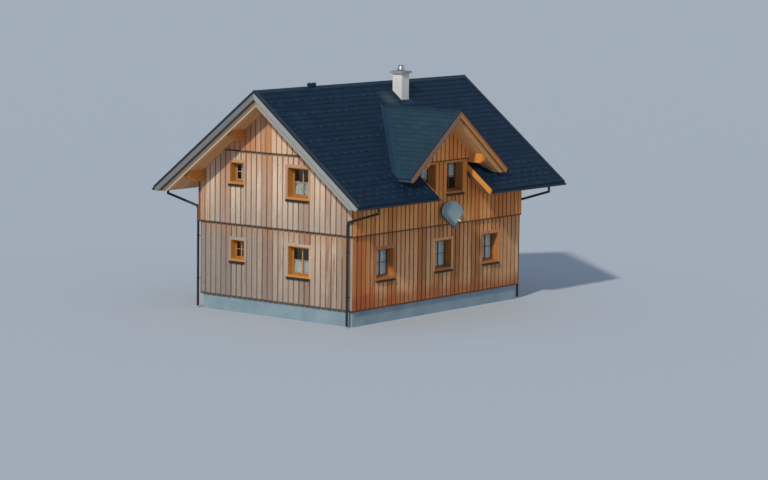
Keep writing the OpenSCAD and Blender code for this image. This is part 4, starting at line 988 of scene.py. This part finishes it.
# gutters: a rolled bead along the outer lip and straps across the top
gutter = dict(y=5.3807, z=4.8881, radius=0.075, bead=0.008, corners=12, end=6.86, strap=0.025, first=0.15,
              spread=0.76, inside=0.002, strapLow=0.001, strapHigh=0.003)
parts = []
for sign, start, end in eavesRuns(gutter["end"]):
    y, z = sign * (gutter["y"] + gutter["radius"] - gutter["bead"]), gutter["z"]
    parts.append(addTube("gutterBeads", (start, y, z), (end, y, z), gutter["bead"], gutter["corners"]))
    count = int((end - start - 2 * gutter["first"]) / gutter["spread"]) + 1
    low, high = sorted((sign * (gutter["y"] - gutter["radius"] + gutter["inside"]), y))
    start += gutter["first"]
    band = addBar("band", (start, low, z - gutter["strapLow"]),
                  (start + gutter["strap"], high, z + gutter["strapHigh"]))
    parts.append(repeat(band, count, (gutter["spread"], 0, 0)))
finished(joined("gutterBeads", parts), coat["gutter"], "dark_metal")

# satellite dish: a rolled edge round the reflector, dark partly as the rim and partly as painted shade, and
# a pale receiver
dish = dict(place=(0.26, -4.47, 4.09), turn=-24, lean=78, edge=0.007, flange=0.085, radius=0.495,
            deep=0.095, behind=0.004)
receiver = dict(place=(0, -0.34, 0.5), lean=25, radius=0.0405, length=0.136, corners=24, round=0.008)
dishFrame = (Matrix.Translation(dish["place"]) @ Matrix.Rotation(math.radians(dish["turn"]), 4, "Z")
             @ Matrix.Rotation(math.radians(dish["lean"]), 4, "X"))


def behindBowl(p):
    return p.z < -dish["deep"] * (1 - (math.hypot(p.x, p.y) / dish["radius"]) ** 2) - dish["behind"]


rim = joined("dishRimAndShade", [cadCopy("dish_reflector")])
rim.data.transform(dishFrame.inverted())
pick(rim, "FACE", lambda p: abs((p[1] - p[0]).cross(p[2] - p[0]).normalized().z) > 0.2)
bpy.ops.mesh.delete(type="FACE")
setMode("OBJECT")
pick(rim, "EDGE", lambda p: behindBowl(p[0]) and behindBowl(p[1]))
bpy.ops.mesh.extrude_region_move(TRANSFORM_OT_translate={"value": (0, 0, -dish["flange"])})
setMode("OBJECT")
modify(rim, "SOLIDIFY", thickness=dish["edge"], offset=1.0, use_even_offset=True)
rim.data.transform(dishFrame)
finished(rim, coat["dishRimAndShade"], "dish_paint")
half = receiver["length"] / 2
shell = addTube("receiverShell", (0, 0, -half), (0, 0, half), receiver["radius"], receiver["corners"])
bevelPicked(shell, "FACE", receiver["round"], 3, lambda p: len(p) > 4)
shell.data.transform(dishFrame @ Matrix.Translation(receiver["place"])
                     @ Matrix.Rotation(math.radians(receiver["lean"]), 4, "X"))
only(shell)
bpy.ops.object.shade_smooth_by_angle(angle=math.radians(30))
finished(shell, coat["receiver"], "dish_paint")

# entrance door at the back: upright planks and a lever handle
door = dict(half=0.449, planks=6, gap=0.004, near=0.130, back=0.1425, low=0.766, high=2.814, edge=0.003,
            handlePlate=((0.355, 0.126, 1.70), (0.397, 0.1305, 1.93)))
step = 2 * door["half"] / door["planks"]
plank = addBar("doorPlanks", (-door["half"], door["near"], door["low"]),
               (-door["half"] + step - door["gap"], door["back"], door["high"]))
rounded(plank, door["edge"])
repeat(plank, door["planks"], (step, 0, 0))
toneByPlace(plank, lambda c: np.floor((c[:, 0] + door["half"]) / step), 2.9)
atDoor = halfTurn @ Matrix.Translation((0, -hw, 0))
plank.data.transform(atDoor)
finished(plank, wood["door"], "frame_wood")
handle = dict(neck=((0.376, 0.128, 1.84), (0.376, 0.078, 1.84), 0.010),
              grip=((0.382, 0.080, 1.84), (0.262, 0.080, 1.84), 0.009), corners=16, round=0.0015)
parts = [addBar("doorHandle", *door["handlePlate"])]
parts += [addTube(name, *handle[name], handle["corners"]) for name in ("neck", "grip")]
lever = rounded(joined("doorHandle", parts), handle["round"], 2)
lever.data.transform(atDoor)
finished(lever, coat["handle"], "stainless_steel")
print("gutters, dish and door dressed")

# CAD nodes keep their shape and take their real finish; all others are walls and floors of plain spruce
finishes = {name: material for material, names in (
    (coat["plinth"], "plinth"),
    (coat["concrete"], "foundation_slab entrance_steps chimney_cap"),
    (coat["stack"], "chimney_stack"),
    (coat["flue"], "chimney_flue"),
    (wood["frontUpper"], "dormer_cheeks"),
    (wood["purlin"], "eaves_purlins middle_purlins"),
    (wood["dormerPurlin"], "dormer_purlins"),
    (wood["soffit"], "front_roof_deck back_roof_deck"),
    (wood["dormerSoffit"], "dormer_roof_deck"),
    (coat["tiles"], "front_roof_tiles back_roof_tiles"),
    (coat["dormerTilesPaintedLight"], "dormer_roof_tiles"),
    (coat["folded"], "ridge_caps chimney_flashing ridge_vent"),
    (coat["valley"], "valley_flashings"),
    (wood["verge"], "verge_boards"),
    (wood["dormerVerge"], "dormer_verge_boards"),
    (wood["cutEnd"], "roof_cut_boards"),
    (wood["eaves"], "eaves_boards"),
    (wood["lining"], "window_linings"),
    (wood["frame"], "window_frames door_frame"),
    (wood["door"], "entrance_door"),
    (glass, "window_glass"),
    (coat["sill"], "window_sills"),
    (cloth, "curtains"),
    (coat["rail"], "curtain_rails"),
    (coat["gutter"], "gutters downpipes dish_bracket"),
    (coat["dish"], "dish_reflector dish_arm"),
) for name in names.split()}
for name, node in nodes.items():
    material = finishes.get(name, wood["inner"])
    if not node.material_slots:
        node.data.materials.append(material)
    for holder in node.material_slots:
        holder.material = material

# floor, light and background
stage = dict(floor="#bccad6", back="#dfe6ee", shade="#bccae2", ambient=0.5, size=3000, level=-0.002)
bpy.ops.mesh.primitive_plane_add(size=stage["size"], location=(0, 0, stage["level"]))
floor = bpy.context.object
floor.name = "studioFloor"
floorMaterial, shader, add = startMaterial("paperFloorPale", {
    "Base Color": linear(stage["floor"]), "Roughness": 0.95, "Specular IOR Level": 0.1})
floor.data.materials.append(floorMaterial)

# the key is a low sun from the left gable; its slant along the front throws the boards' toothed shadow
# on the plinth, and a weak wide light from the front warms the boards there
for name, height, aim, energy, spread, shade in (
        ("keyLight", 20, (0.796, 0.215, -0.565), 2.35, 3, "#fff2e0"),
        ("fillLight", 24, (0.05, 0.98, -0.08), 0.3, 70, "#ffdcb4")):
    bpy.ops.object.light_add(type="SUN", location=(0, 0, height))
    lamp = bpy.context.object
    lamp.name = name
    lamp.rotation_euler = Vector(aim).to_track_quat("-Z", "Y").to_euler()
    lamp.data.energy, lamp.data.angle, lamp.data.color = energy, math.radians(spread), linear(shade)[:3]
# the camera and mirror-like faces see the pale background, everything else is lit by the bluer shade
world = bpy.data.worlds.new("paleRoom")
bpy.context.scene.world = world
world.use_nodes = True
add = partial(addNode, world.node_tree)
ray = add("LightPath").node.outputs
seen = add("Math", (ray["Is Camera Ray"], ray["Is Glossy Ray"]), operation="MAXIMUM")
seen = add("Math", (seen, ray["Is Transmission Ray"]), operation="MAXIMUM")
level = add("MapRange", {"Value": seen, "To Min": stage["ambient"]})
back = world.node_tree.nodes["Background"].inputs
shades = {0: seen, 6: linear(stage["shade"]), 7: linear(stage["back"])}
colour = add("Mix", shades, 2, data_type="RGBA")
link(colour, back["Color"])
link(level, back["Strength"])
bpy.context.scene.view_settings.view_transform = "Standard"
print("stage set")
